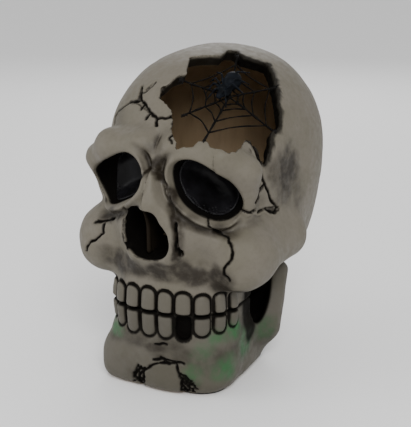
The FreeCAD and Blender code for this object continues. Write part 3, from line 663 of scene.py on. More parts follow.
# ---------------- meshing
def surface(shape, low, high, fine):
    """The closed surface of a shape as quads: a fine grid, filled in only near the surface."""
    coarse = fine * BLOCK
    count = [int(math.ceil((high[i] - low[i]) / coarse)) for i in range(3)]
    middles = [low[i] + coarse * (np.arange(count[i]) + 0.5) for i in range(3)]
    mid = np.meshgrid(*middles, indexing="ij")
    rough = shape(tuple(m.ravel().astype(F) for m in mid)).reshape(count)
    values = np.repeat(np.repeat(np.repeat(rough, BLOCK, 0), BLOCK, 1), BLOCK, 2).astype(F)
    close = np.argwhere(np.abs(rough) < 1.5 * coarse)
    offsets = np.stack(np.meshgrid(*[np.arange(BLOCK)] * 3, indexing="ij"), -1).reshape(-1, 3)
    for part in np.array_split(close, max(1, len(close) // BATCH)):
        cells = (part[:, None, :] * BLOCK + offsets[None]).reshape(-1, 3)
        p = tuple((low[i] + fine * (cells[:, i] + 0.5)).astype(F) for i in range(3))
        values[cells[:, 0], cells[:, 1], cells[:, 2]] = shape(p)
    return nets(values, np.array(low) + fine / 2, fine)


def nets(values, origin, fine):
    """Surface nets: one corner in each cell that the surface crosses, and a quad at each crossed edge."""
    inside = values < 0
    cells = tuple(n - 1 for n in values.shape)
    total = int(np.prod(cells))
    sums, hits = np.zeros((3, total)), np.zeros(total)
    crossings = []
    for axis in range(3):
        lower = [slice(None)] * 3
        upper = [slice(None)] * 3
        lower[axis], upper[axis] = slice(0, -1), slice(1, None)
        where = np.argwhere(inside[tuple(lower)] != inside[tuple(upper)])
        others = [k for k in range(3) if k != axis]
        keep = np.all((where[:, others] > 0), 1)
        for k in others:
            keep &= where[:, k] < cells[k]
        where = where[keep]
        a = values[tuple(lower)][tuple(where.T)]
        b = values[tuple(upper)][tuple(where.T)]
        place = where.astype(float)
        place[:, axis] += a / (a - b)
        first, second = (axis + 1) % 3, (axis + 2) % 3
        around = []
        for i, j in ((-1, -1), (0, -1), (0, 0), (-1, 0)):
            cell = where.copy()
            cell[:, first] += i
            cell[:, second] += j
            flat = np.ravel_multi_index(tuple(cell.T), cells)
            around.append(flat)
            hits += np.bincount(flat, minlength=total)
            for k in range(3):
                sums[k] += np.bincount(flat, place[:, k], total)
        quads = np.stack(around, 1)
        outward = a < 0
        quads[~outward] = quads[~outward][:, ::-1]
        crossings.append(quads)
    used = hits > 0
    corners = (sums[:, used] / hits[used]).T * fine + origin
    index = np.cumsum(used) - 1
    return corners, index[np.concatenate(crossings)]


def slope(shape, points, reach=0.25):
    """A shape's distance and its gradient at points, from the corners of a small tetrahedron."""
    corners = np.array([(1, -1, -1), (-1, -1, 1), (-1, 1, -1), (1, 1, 1)], F)
    value, gradient = 0, 0
    for corner in corners:
        q = points + corner * reach
        d = shape(columns(q))
        value = value + d / 4
        gradient = gradient + d[:, None] * corner / (4 * reach)
    return value, gradient


def settled(shape, points, most):
    """Points moved onto the surface, each by no more than this."""
    value, gradient = slope(shape, points)
    size = np.maximum((gradient ** 2).sum(1), 0.2)
    return points - gradient * np.clip(value / size, -most, most)[:, None]


def linked(name, data):
    """A new object of some data, in the scene."""
    obj = bpy.data.objects.new(name, data)
    bpy.context.scene.collection.objects.link(obj)
    return obj


def sculpted(name, shape, low, high, fine, most):
    """A Blender object of a shape, thinned to at most this many triangles and laid on the surface again."""
    corners, quads = surface(shape, low, high, fine)
    for _ in range(SETTLE_TURNS):
        corners = settled(shape, corners, fine * 0.5)
    mesh = bpy.data.meshes.new(name)
    mesh.vertices.add(len(corners))
    mesh.vertices.foreach_set("co", (corners * MM).astype(F).ravel())
    mesh.loops.add(quads.size)
    mesh.loops.foreach_set("vertex_index", quads.ravel().astype(np.int32))
    mesh.polygons.add(len(quads))
    mesh.polygons.foreach_set("loop_start", np.arange(0, quads.size, 4, dtype=np.int32))
    mesh.polygons.foreach_set("loop_total", np.full(len(quads), 4, np.int32))
    mesh.update(calc_edges=True)
    obj = linked(name, mesh)
    if 2 * len(quads) > most:
        thin = obj.modifiers.new("thin", "DECIMATE")
        thin.ratio = most / (2 * len(quads))
        bpy.context.view_layer.update()
        ready = bpy.data.meshes.new_from_object(obj.evaluated_get(bpy.context.evaluated_depsgraph_get()))
        obj.modifiers.clear()
        obj.data = ready
        ready.name = name
    obj.data.shade_smooth()
    return obj


def mesh_points(obj):
    """An object's corners, in mm."""
    co = np.empty(len(obj.data.vertices) * 3, F)
    obj.data.vertices.foreach_get("co", co)
    return co.reshape(-1, 3) / MM


def paint(obj, **layers):
    """Store numbers from 0 to 1, one for each corner, for the materials to read."""
    for name, values in layers.items():
        layer = obj.data.attributes.new(name, "FLOAT", "POINT")
        layer.data.foreach_set("value", np.clip(values, 0, 1).astype(F))


# ---------------- worn paint, stain marks and painted shade
# Stain marks and painted shade, under the brows, eyes and cheeks and low on the jaw's sides.
# Each spot: the middle, the radii and the strength.
SKULL_STAINS_AND_SHADE = [
    ((45, -7, 98), (12, 13, 15), 0.95), ((45, 2, 90), (10, 9, 9), 0.5),
    ((3, -52, 107), (5, 6, 5.5), 1), ((0, -50, 112), (8, 5, 5), 0.45), ((-6, -50, 104), (3, 5, 5), 0.5),
    ((11, -52, 89), (5, 6, 9), 0.7), ((15, -50, 83), (6, 7, 5), 0.9), ((-20, -48, 81), (9, 8, 4), 0.8),
    ((-9, -51, 58.5), (9, 7, 6), 1), ((3, -52, 58), (10, 7, 6), 1), ((13, -51, 60), (9, 7, 7), 1),
    ((21, -48, 57), (11, 9, 6.5), 1), ((28, -40, 53), (9, 12, 5), 1), ((-19, -46, 58), (8, 9, 8), 1),
    ((-27, -42, 60), (8, 9, 7), 0.7), ((13.5, -52, 76), (3.5, 6, 10), 0.9), ((27, -44, 79), (7, 7, 3.5), 0.7),
    ((30, -18, 45), (6, 9, 8), 1), ((-30, -18, 45), (6, 9, 8), 1),
    ((-26, -31, 120), (8, 8, 6), 0.4), ((40, -27, 88), (6, 8, 6), 0.4), ((30, -26, 50), (10, 18, 7), 1),
    ((-30, -28, 54), (9, 16, 6), 0.9), ((32, -24, 118), (6, 6, 6), 0.5), ((-45, -7, 98), (12, 13, 15), 0.8),
    ((0, 62, 90), (16, 12, 20), 0.4), ((20, 55, 110), (12, 12, 9), 0.35), ((-24, 50, 75), (12, 12, 10), 0.4),
    ((29, -44, 58), (8, 8, 7), 1), ((36, -38, 50), (5, 7, 4.5), 1), ((5, -53, 60.5), (8, 6, 5), 1),
    ((-15, -49, 59), (8, 7, 6), 1), ((10.6, -53, 93), (4.5, 6, 8), 1), ((12.3, -52, 85), (4.5, 6, 8), 1),
    ((12.5, -54, 69), (3.5, 5, 9), 1), ((2, -51, 106), (4, 6, 5), 1), ((-28, -42, 77), (7, 7, 3.5), 0.9),
    ((44, -7, 92), (11, 13, 13), 0.7), ((45.5, 3, 84), (9, 9, 9), 0.5), ((42, -17, 99), (6, 7, 9), 0.6),
]
JAW_STAINS_AND_SHADE = [
    ((0, -51, 22), (9, 5, 3.5), 0.75), ((-9, -50, 23), (9, 5, 4), 0.6), ((3, -51, 19), (7, 5, 3), 0.5),
    ((14, -50, 20), (9, 6, 6), 0.55), ((22, -46, 16), (9, 8, 9), 0.5), ((-22, -45, 22), (8, 7, 4), 0.55),
    ((28, -30, 20), (8, 12, 9), 0.55), ((31, -10, 25), (8, 12, 10), 0.6), ((16, -49, 7), (7, 5, 6), 0.5),
    ((-12, -49, 7), (6, 5, 6), 0.5), ((30, -17, 34), (5, 6, 5), 0.8), ((0, 20, 30), (25, 8, 10), 0.4),
    ((30, 18, 38), (8, 8, 8), 0.4),
    ((-10, -50, 25), (12, 7, 6), 0.6), ((6, -51, 25), (12, 7, 6), 0.6), ((27, -42, 18), (10, 9, 8), 0.6),
    ((31, -22, 18), (8, 12, 9), 0.65), ((32, -3, 17), (8, 12, 12), 0.6), ((31, -27, 29), (6, 8, 7), 0.7),
]
MOSS = [
    ((29, -32, 29), (6, 7, 6), 1), ((25, -38, 28), (6, 8, 5), 0.8), ((26, -38, 13), (9, 9, 8), 1),
    ((18, -46, 12), (6, 6, 6), 0.7), ((32, -22, 19), (8, 9, 9), 0.8), ((20, -44, 22), (7, 6, 6), 0.5),
    ((-22, -44, 25), (8, 6, 4), 1), ((-28, -36, 29), (5, 7, 6), 0.8), ((-26, -38, 21), (6, 6, 4), 0.5),
    ((34, -4, 20), (7, 8, 7), 0.5), ((-30, -20, 24), (8, 12, 7), 0.5), ((13, -50, 33), (4, 5, 5), 0.7),
    ((10, 20, 14), (12, 8, 7), 0.4),
]


def spot_depth(p, spots):
    """How deep in any of the spots each point is, from 0 to the spot's strength, with a ragged edge."""
    total = np.zeros(p[0].shape, F)
    for middle, radii, strength in spots:
        far = length((p[i] - middle[i]) / radii[i] for i in range(3))
        far = far + 0.16 * grain(p, 3.4, 0.15)
        total = np.maximum(total, strength * (1 - step(far, 0.3, 1.25)))
    return total


def hollows(shape, points, normals, reaches):
    """How closed in each point is, from 0 in the open to 1 in a crevice."""
    total = 0
    for reach, share in reaches:
        q = points + normals * reach
        d = shape(columns(q))
        total = total + share * np.clip(1 - d / reach, 0, 1)
    return total


def wear_and_shade(obj, shape, cracks, stains_and_shade, moss, teeth, inner, dark):
    """Work out where a casting's paint is dark, brown, green or bare, and where shade is painted on it, and
    store it.
    """
    points = mesh_points(obj)
    p = columns(points)
    _, tip, rising = teeth
    _, gradient = slope(shape, points, 0.35)
    normals = gradient / np.maximum(np.linalg.norm(gradient, axis=1), 1e-6)[:, None]
    tight = hollows(shape, points, normals, ((1.2, 0.5), (3.0, 0.5)))
    wide = hollows(shape, points, normals, ((5.0, 0.5), (9.0, 0.5)))
    gap = lines_gap(p, cracks)
    ink = 1 - step(gap + 0.2 * grain(p, 3.1) + 0.1 * grain(p, 1.1), 0.3, 0.85)
    face, _, out, number = tooth_place(p, *teeth)
    band = step(out, -4, -2) * (1 - step(out, 3, 4)) * (p[1] < BAND_END)
    edge = step(face, -0.75, 0.0) * (1 - step(face, 0.8, 1.35))
    between = step(0.2 - face, -1, 0) * step(0.9 - out, 0, 0.8)
    ink = np.maximum(ink, 0.95 * band * np.maximum(edge, between * (face > -0.2)))
    past_tip = (p[2] - tip) * -rising
    bite = step(past_tip, -0.8, 0.2) * (1 - step(past_tip, 1.5, 3)) * band
    ink = np.maximum(ink, 0.9 * bite)
    if rising < 0:
        socket_dark = (number == MISSING_TOOTH) * (1 - step(face, 0.0, 0.9)) * step(out, -6, -4)
        ink = np.maximum(ink, socket_dark)
    tooth = band * (1 - step(face, -0.9, 0.0))
    # Brown paint washed into the hollows, then the stain marks and painted shade of the spot table, lighter
    # on the teeth.
    wash = np.clip(step(tight, 0.12, 0.6) * 0.8 + step(wide, 0.2, 0.75) * 0.5, 0, 1)
    wash = np.maximum(wash, spot_depth(p, stains_and_shade)) * (1 - 0.7 * tooth)
    if rising > 0:
        # Brown paint with painted shade in the groove under each eye's lower rim; the plate over the nose is
        # kept clear of it, with a dark line round its edge.
        wash = np.maximum(wash, 0.95 * lower_rim(p) * hump(socket(p), 4.6, 3.0))
        plate = nose_plate_gap(p)
        wash = wash * (1 - 0.8 * step(-plate, 0.2, 1.2) * step(p[2], 64, 70))
        wash = np.maximum(wash, hump(plate, 0.9, 1.5) * step(p[2], 66, 74) * step(p[0], -5, 1))
    # Black paint on the walls of the eyes and nose and on the window's splinters, and painted shade and
    # shadow in the mouth and behind the last teeth.
    ink = np.maximum(ink, dark(p))
    paint(obj, ink=ink, wash=wash, moss=spot_depth(p, moss) * (1 - 0.6 * tooth), tooth=tooth, inner=inner(p))


def skull_inner(p):
    """1 where the bare resin shows: inside the cranium and well below the outside skin."""
    room = 1 - step(brain_room(p), 0.3, 1.6)
    deep = step(-head_mass(p), 3.2, 4.6)
    return np.maximum(room, deep)


def skull_rim(p):
    """1 on the broken edge of the window, from just under the outside skin to the inside."""
    edge = 1 - step(np.abs(window_gap(p)), 0.5, 1.2)
    below = step(-head_mass(p), 0.9, 1.8)
    inside = step(brain_room(p), 0.0, 0.6)
    return edge * below * inside


def skull_dark(p):
    """1 on the black walls of the eyes and nose, the window's splinters and the cheek's shadow."""
    under = -head_mass(p)
    eye = (1 - step(np.abs(socket(p)), 0.5, 1.3)) * step(under, 0.5, 1.5)
    nose = (1 - step(np.abs(nose_hole(p)), 0.6, 1.4)) * step(under, -0.2, 0.9)
    wall = (1 - step(np.abs(septum(p)), 0.3, 0.6)) * step(under, 1.0, 3.0) * 0.97
    return np.maximum.reduce([eye, nose, splinters(p), wall, cheek_shadow(p)])


def splinters(p):
    """Dark broken bone on the outside along the window's top and right edges."""
    ragged = window_gap(p) + 1.1 * grain(p, 3.1) + 0.5 * grain(p, 1.3)
    return 0.88 * (1 - step(ragged, 1.3, 2.7)) * step(p[0], 5, 15) * step(p[1], -32, -24)


def cheek_shadow(p):
    """Dark on both castings behind the last teeth, in front of the gap in the jaw."""
    ragged = blob(mirrored(p), (31, -15, 34), (9, 8.5, 17)) + 0.9 * grain(p, 4.5)
    return 0.92 * (1 - step(ragged, -2.0, 1.8))


def jaw_dark(p):
    """1 on the walls of the mouth behind the teeth and in the gap beside it, dark paint with painted shade
    there, and in the cheek's painted shadow.
    """
    _, out = band_place(p)
    behind = step(p[1], -16, -12) * (1 - step(p[1], 17, 19)) * step(p[2] - 0.35 * p[1], 22, 27)
    cheek = (1 - step(np.abs(p[0]) - 0.25 * p[1], 26.5, 29.5)) * behind
    notch = 1 - step(np.abs(jaw_notch(p)), 0.6, 1.8)
    mouth = step(-out, 5, 7) * step(p[2], 30, 34) * (p[1] < 19)
    return np.maximum.reduce([cheek, notch, cheek_shadow(p), mouth])


def jaw_inner(p):
    """1 where the bare resin shows: inside the jaw's hollow and underneath."""
    deep = 1 - step(block(p, *JAW_HOLLOW), 0.3, 1.6)
    return np.maximum(deep, 1 - step(p[2], JAW_LOW + 0.1, JAW_LOW + 0.8))


# ---------------- materials
class Nodes:
    """A short way to write a node tree: each call makes a node and returns its output socket."""

    def __init__(self, name):
        self.material = bpy.data.materials.new(name)
        self.material.use_nodes = True
        self.tree = self.material.node_tree
        self.shader = self.tree.nodes["Principled BSDF"]

    def put(self, target, value):
        """Give an input a value, or a link from another node's output."""
        if isinstance(value, bpy.types.NodeSocket):
            self.tree.links.new(value, target)
        else:
            target.default_value = value

    def make(self, kind, output, inputs, **settings):
        """Add a node of this kind, set it up, and return one of its outputs."""
        node = self.tree.nodes.new("ShaderNode" + kind)
        for name, value in settings.items():
            setattr(node, name, value)
        for name, value in inputs.items():
            self.put(node.inputs[name], value)
        return node.outputs[output]

    def coords(self, stretch=(1, 1, 1)):
        """Places in the object, with a scale for each axis."""
        place = self.make("TexCoord", "Object", {})
        return self.make("Mapping", "Vector", {"Vector": place, "Scale": stretch})

    def noise(self, size_mm, detail=3.0, rough=0.55, stretch=(1, 1, 1)):
        """Cloudy noise with lumps of about this size."""
        inputs = {"Vector": self.coords(stretch), "Scale": 1 / (size_mm * MM)}
        return self.make("TexNoise", "Fac", {**inputs, "Detail": detail, "Roughness": rough})

    def cells(self, size_mm):
        """The distance to the nearest of scattered points, about this far apart."""
        return self.make("TexVoronoi", "Distance", {"Vector": self.coords(), "Scale": 1 / (size_mm * MM)})

    def layer(self, name):
        """A layer stored by paint()."""
        return self.make("Attribute", "Fac", {}, attribute_name=name)

    def span(self, value, low, high, to_low=0.0, to_high=1.0):
        """A value smoothly carried over from one range to another."""
        inputs = {"Value": value, "From Min": low, "From Max": high, "To Min": to_low, "To Max": to_high}
        return self.make("MapRange", "Result", inputs, interpolation_type="SMOOTHSTEP")

    def calc(self, how, a, b):
        """Two numbers combined."""
        return self.make("Math", 0, {0: a, 1: b}, operation=how)

    def mix(self, share, a, b):
        """Colour a with this share of colour b in it."""
        return self.make("Mix", "Result", {"Factor": share, "A": a, "B": b}, data_type="RGBA")

    def bump(self, height, depth_mm, base=None):
        """Relief of this depth, on top of another relief if there is one."""
        inputs = {"Strength": 1.0, "Distance": depth_mm * MM, "Height": height}
        if base is not None:
            inputs["Normal"] = base
        return self.make("Bump", "Normal", inputs)

    def set(self, **inputs):
        """Set the shader's inputs, with an underscore for each blank in a name."""
        for name, value in inputs.items():
            self.put(self.shader.inputs[name.replace("_", " ")], value)


def rgb(red, green, blue):
    """A colour as a node takes it."""
    return (red, green, blue, 1.0)


def cast_resin(name, bone, bone_warm):
    """Bone-coloured cast resin: brown washed into the hollows with stain marks and painted shade, inked
    cracks, painted shadow behind the teeth, green algae, matt paint.
    """
    n = Nodes(name)
    patch = n.span(n.noise(17, 4), 0.35, 0.68)
    fleck = n.span(n.noise(2.2, 5, 0.7), 0.42, 0.72)
    skin = n.mix(patch, rgb(*bone), rgb(*bone_warm))
    skin = n.mix(n.calc("MULTIPLY", fleck, 0.28), skin, rgb(0.073, 0.064, 0.045))
    skin = n.mix(n.calc("MULTIPLY", n.layer("tooth"), 0.7), skin, rgb(0.063, 0.057, 0.044))
    ragged = n.span(n.noise(4.5, 5, 0.6), 0.25, 0.7, 0.6, 1.1)
    wash = n.calc("MULTIPLY", n.layer("wash"), ragged)
    # Dark brown for the hollows, the stain marks and the painted shade under the brows, eyes and cheeks.
    skin = n.mix(n.span(wash, 0.0, 1.0), skin, rgb(0.014, 0.0098, 0.005))
    green = n.calc("MULTIPLY", n.layer("moss"), n.span(n.noise(4.5, 4), 0.3, 0.62, 0.35, 1.0))
    skin = n.mix(green, skin, rgb(0.02, 0.085, 0.026))
    streak = n.span(n.noise(9, 4, 0.6, (1, 1, 0.25)), 0.3, 0.7)
    raw = n.mix(streak, rgb(0.3, 0.215, 0.125), rgb(0.22, 0.155, 0.09))
    skin = n.mix(n.layer("inner"), skin, raw)
    skin = n.mix(n.layer("rim"), skin, rgb(0.009, 0.007, 0.004))
    # Near black for the inked cracks, tooth lines and black walls, and for painted shade and shadow in the
    # mouth and behind the last teeth.
    skin = n.mix(n.layer("ink"), skin, rgb(0.0045, 0.004, 0.0035))
    rough = n.span(n.noise(3, 3), 0.3, 0.7, 0.52, 0.68)
    pits = n.bump(n.span(n.cells(1.9), 0.0, 0.16), 0.05)
    finish = n.bump(n.noise(0.7, 4, 0.6), 0.045, pits)
    shine = n.calc("MULTIPLY", n.calc("SUBTRACT", 1.0, n.layer("ink")), 0.3)
    n.set(Base_Color=skin, Roughness=rough, Normal=finish, Specular_IOR_Level=shine)
    return n.material


def gloss_black():
    """Poured black gloss in the eye holes, with a faint cloud and slow ripples."""
    n = Nodes("gloss_black")
    cloud = n.span(n.noise(9, 3, 0.5, (1, 1, 0.5)), 0.35, 0.7)
    n.set(Base_Color=n.mix(cloud, rgb(0.003, 0.0027, 0.003), rgb(0.009, 0.0087, 0.01)),
          Roughness=n.span(n.noise(6, 2), 0.3, 0.7, 0.3, 0.42), Normal=n.bump(n.noise(7, 2), 0.5),
          Specular_IOR_Level=0.12)
    return n.material


def plastic(name, colour, other, rough, size, depth, shine=0.5):
    """A moulded or rubbery piece: two close shades, a fine texture and slightly uneven gloss."""
    n = Nodes(name)
    n.set(Base_Color=n.mix(n.span(n.noise(size, 3), 0.3, 0.7), rgb(*colour), rgb(*other)),
          Roughness=n.span(n.noise(size * 0.4, 3), 0.3, 0.7, rough - 0.06, rough + 0.08),
          Normal=n.bump(n.noise(size * 0.12, 3, 0.6), depth), Specular_IOR_Level=shine)
    return n.material


def metal(name, colour, stretch):
    """Steel with fine turning marks drawn out one way."""
    n = Nodes(name)
    n.set(Base_Color=n.mix(n.noise(1.5, 3, 0.5, stretch), rgb(*colour), rgb(*[c * 0.7 for c in colour])),
          Roughness=n.span(n.noise(0.8, 3, 0.5, stretch), 0.3, 0.7, 0.28, 0.42), Metallic=1.0,
          Normal=n.bump(n.noise(0.3, 2, 0.5, stretch), 0.01))
    return n.material


def clear_plastic(name, colour, share):
    """Milky tube and nylon: part of the light goes through."""
    n = Nodes(name)
    n.set(Base_Color=n.mix(n.span(n.noise(6, 3), 0.3, 0.7), rgb(*colour), rgb(*[c * 0.85 for c in colour])),
          Roughness=n.span(n.noise(3, 3), 0.3, 0.7, 0.25, 0.4), Normal=n.bump(n.noise(0.9, 2), 0.02))
    n.shader.inputs["Transmission Weight"].default_value = share
    return n.material


def porous(name):
    """Sintered blue mineral grains with dark pores between them."""
    n = Nodes(name)
    grains = n.cells(0.9)
    shade = n.mix(n.span(grains, 0.1, 0.6), rgb(0.12, 0.2, 0.34), rgb(0.03, 0.055, 0.11))
    n.set(Base_Color=n.mix(n.span(n.noise(5, 3), 0.4, 0.7), shade, rgb(0.08, 0.12, 0.16)), Roughness=0.92,
          Normal=n.bump(grains, 0.45))
    return n.material


# ---------------- wires, drops and the spider
def smooth_path(points, steps):
    """Points along a smooth curve through the given ones."""
    pts = [np.array(v, float) for v in points]
    ends = [2 * pts[0] - pts[1]] + pts + [2 * pts[-1] - pts[-2]]
    out = []
    for i in range(1, len(ends) - 2):
        a, b, c, d = ends[i - 1:i + 3]
        for t in np.linspace(0, 1, steps, endpoint=False):
            square, cube = 2 * a - 5 * b + 4 * c - d, 3 * b - a - 3 * c + d
            out.append((2 * b + (c - a) * t + square * t * t + cube * t ** 3) / 2)
    out.append(pts[-1])
    return np.array(out)


ASKEW = (0.31, 0.55, 0.77)                  # a way that no tube runs, to start its cross-section from


def tube_mesh(path, radii, sides=10):
    """Corners and faces of a closed tube along a path, with its own radius at each point."""
    path = np.asarray(path, float)
    along = np.gradient(path, axis=0)
    along /= np.linalg.norm(along, axis=1)[:, None]
    side = np.cross(along[0], ASKEW)
    corners, faces = [], []
    angles = np.linspace(0, 2 * math.pi, sides, endpoint=False)
    for i, centre in enumerate(path):
        side = side - along[i] * (side @ along[i])
        side /= np.linalg.norm(side)
        other = np.cross(along[i], side)
        for angle in angles:
            corners.append(centre + radii[i] * (side * math.cos(angle) + other * math.sin(angle)))
    for i in range(len(path) - 1):
        for k in range(sides):
            a, b = i * sides + k, i * sides + (k + 1) % sides
            faces.append((a, b, b + sides, a + sides))
    last = (len(path) - 1) * sides
    faces.append(tuple(range(sides))[::-1])
    faces.append(tuple(last + k for k in range(sides)))
    return corners, faces


def merged(name, pieces):
    """One object from several (corners, faces) pairs, in millimetres."""
    corners, faces = [], []
    for more, more_faces in pieces:
        faces += [tuple(i + len(corners) for i in face) for face in more_faces]
        corners += [tuple(float(c) * MM for c in v) for v in more]
    mesh = bpy.data.meshes.new(name)
    mesh.from_pydata(corners, [], faces)
    mesh.validate()
    mesh.shade_smooth()
    return linked(name, mesh)


# The web, in mm: its hub, where its spokes end on the rim, the size of the knot there, and its rings as
# shares of the way out.
HUB = np.array((20.3, -17.8, 131.3))
SPOKE_ENDS = [np.array(v) for v in (
    (0.9, -25.3, 138.4), (8.2, -37.4, 125.5), (21.6, -45.0, 117.2),
    (40.2, -13.6, 116.8), (34.3, 0.4, 133.8), (15.2, 1.6, 146.2))]
KNOT_SIZES = [1.25, 0.7, 0.7, 1.15, 1.15, 0.9]
RINGS = [0.2, 0.33, 0.55, 0.84]
STRAND = 0.36                               # a thread's radius
SPOKE_SEED, RING_SEED, KNOT_SEED = 20, 40, 77


def wobble(path, size, seed):
    """A thread's small unevenness, none at its two ends."""
    chance = np.random.default_rng(seed)
    free = np.sin(np.linspace(0, math.pi, len(path)))[:, None]
    waves = sum(np.sin(np.linspace(0, k * 3.1, len(path)) + chance.uniform(0, 6))[:, None]
                * chance.normal(size=3) * size / k for k in (1, 2, 4))
    return path + waves * free


def ring_corner(spoke, ring):
    """Where a ring crosses a spoke: each crossing is a little nearer the hub or further out."""
    uneven = 1 + 0.05 * math.sin(2.3 * spoke + 1.7 * ring)
    return HUB + (SPOKE_ENDS[spoke] - HUB) * RINGS[ring] * uneven


def web_threads():
    """The six spokes and the rings between them, each stretch sagging a little towards the hub."""
    pieces = []
    for i, end in enumerate(SPOKE_ENDS):
        path = wobble(smooth_path([HUB, (HUB + end) / 2, end], 9), 0.12, SPOKE_SEED + i)
        radii = STRAND * (1.25 + 0.25 * np.sin(np.linspace(0, 19, len(path)) + i))
        pieces.append(tube_mesh(path, radii))
    for r in range(len(RINGS)):
        for i, end in enumerate(SPOKE_ENDS):
            a, b = ring_corner(i, r), ring_corner((i + 1) % len(SPOKE_ENDS), r)
            middle = (a + b) / 2
            sag = middle + (HUB - middle) * 0.07
            path = wobble(smooth_path([a, sag, b], 7), 0.1, RING_SEED + 10 * r + i)
            radii = STRAND * 0.9 * (1 + 0.2 * np.sin(np.linspace(0, 11, len(path)) + 2 * i + r))
            pieces.append(tube_mesh(path, radii, 8))
            pieces.append(tube_mesh(*bead(a, STRAND * 1.5, end - HUB), 10))
    pieces.append(tube_mesh(*bead(HUB, 1.15, WINDOW_OUT), 14))
    return merged("web", pieces)


def bead(centre, radius, along):
    """A path and radii that make a small round bead."""
    along = np.asarray(along, float) / np.linalg.norm(along)
    angles = np.linspace(-math.pi / 2 + 0.12, math.pi / 2 - 0.12, 9)
    path = [np.asarray(centre) + along * radius * math.sin(a) for a in angles]
    return path, [radius * math.cos(a) for a in angles]


def knot_drops():
    """Where each spoke meets the rim: a blob of glue with five short tails over the edge."""
    pieces = []
    chance = np.random.default_rng(KNOT_SEED)
    for size, end in zip(KNOT_SIZES, SPOKE_ENDS):
        pieces.append(tube_mesh(*bead(end, size, end - HUB), 14))
        for _ in range(5):
            way = chance.normal(size=3)
            way = way - WINDOW_OUT * (way @ WINDOW_OUT) * 0.7
            way = way / np.linalg.norm(way) * chance.uniform(1.2, 2.4) * size
            bend = chance.normal(size=3) * 0.35
            path = smooth_path([end, end + way * 0.55 + bend, end + way], 5)
            pieces.append(tube_mesh(path, np.linspace(0.5 * size, 0.14, len(path)), 8))
    return merged("knots", pieces)


# The spider, in mm: the middle of its chest, the way from there to its rear, and each leg's knee and foot.
CHEST = np.array((18.8, -20.4, 134.2))
REAR = np.array((1.4, 9.6, 4.6))
LEGS = [
    ((-5, 0, 2.5), (-8, -1.5, -1.5)), ((-5, 2, 4.5), (-8, 3, 3)),
    ((-3, 4, 6), (-6, 6, 7)), ((-3, -2.5, 0.5), (-6, -5.5, -4)),
    ((4, 1, 2.5), (8.5, 1.5, -0.5)), ((4, 4, 4.5), (9, 7, 2.5)),
    ((3, 7, 7), (7.5, 11, 7)), ((2, -3, -0.5), (4, -6, -6)),
]


def spider_shape(p):
    """The spider's body: a round abdomen with a ridge, a chest with ribs towards the legs, and a head."""
    back = REAR / np.linalg.norm(REAR)
    belly = CHEST + REAR * 0.62 + WINDOW_OUT * 0.6
    d = rod(p, belly - back * 1.3, belly + back * 1.2, 3.5, 4.0)
    d = join(d, rod(p, belly + back * 3.5, belly + back * 4.7, 1.3, 0.7), 2)
    d = join(d, rod(p, CHEST - back * 0.8, CHEST + back * 1.2, 2.3, 1.9), 1.0)
    d = join(d, rod(p, CHEST - REAR * 0.3, CHEST - REAR * 0.38, 1.6, 1.3), 0.8)
    side = np.cross(back, WINDOW_OUT)
    for hand in (1, -1):
        tip = CHEST - REAR * 0.46 + side * hand * 0.8
        d = join(d, rod(p, CHEST - REAR * 0.36 + side * hand * 0.7, tip, 0.6, 0.3), 0.4)
        for step_back in (-0.9, 0.1, 1.0, 1.9):
            hip = CHEST + back * step_back + side * hand * 1.7
            d = join(d, rod(p, hip, hip + side * hand * 0.9 + WINDOW_OUT * 0.4, 0.75, 0.6), 0.5)
    return d + 0.08 * grain(p, 0.8)


def spider_legs():
    """Eight thin jointed legs that bow upwards and taper to claws, thicker at each joint."""
    pieces = []
    for knee, foot in LEGS:
        knee, foot = np.array(knee, float), np.array(foot, float)
        hip = CHEST + knee * 0.25
        mid = CHEST + knee + WINDOW_OUT * 0.7
        shin = CHEST + (knee * 0.45 + foot * 0.55) + WINDOW_OUT * 0.5
        path = smooth_path([hip, (hip + mid) / 2 + WINDOW_OUT * 0.5, mid, shin, CHEST + foot], 7)
        t = np.linspace(0, 1, len(path))
        radii = 0.62 - 0.4 * t + 0.12 * np.cos(t * 4 * math.pi * 2)
        pieces.append(tube_mesh(path, np.maximum(radii, 0.16), 9))
    return merged("legs", pieces)


# ---------------- camera, floor and light
# The camera stands off the skull's left front, a little above it, and looks 16 degrees down.
CAMERA_MM = (198.9, -402.5, 200.0)
CAMERA_TURN, CAMERA_DOWN = 26.3, 16.0
LENS, SENSOR = 82.37, 36.0

# Metres: the floor's half width, the point that the lamps face, and each lamp's name, place, width and watts.
FLOOR_REACH = 4.0
LAMP_AIM = (0, 0, 0.08)
LAMPS = [
    ("key", (0.5, -0.75, 0.75), 0.5, 9),
    ("fill", (-0.7, -0.5, 0.35), 0.6, 2.5),
    ("back", (-0.3, 0.8, 0.6), 0.6, 2.5),
]
WORLD_STRENGTH = 0.85


def add_camera():
    """The camera at the photograph's angle."""
    data = bpy.data.cameras.new("camera")
    data.sensor_fit = "AUTO"
    data.sensor_width = SENSOR
    data.lens = LENS
    camera = linked("camera", data)
    camera.location = [c * MM for c in CAMERA_MM]
    camera.rotation_euler = (math.radians(90 - CAMERA_DOWN), 0, math.radians(CAMERA_TURN))
    bpy.context.scene.camera = camera


def add_floor():
    """A wide pale floor, which belongs to the stage and not to the ornament."""
    mesh = bpy.data.meshes.new("floor")
    corners = [(x * FLOOR_REACH, y * FLOOR_REACH, 0) for x, y in ((-1, -1), (1, -1), (1, 1), (-1, 1))]
    mesh.from_pydata(corners, [], [(0, 1, 2, 3)])
    floor = linked("floor", mesh)
    n = Nodes("floor_paint")
    n.set(Base_Color=n.mix(n.noise(400, 2), rgb(0.86, 0.86, 0.86), rgb(0.84, 0.84, 0.84)), Roughness=0.8)
    mesh.materials.append(n.material)


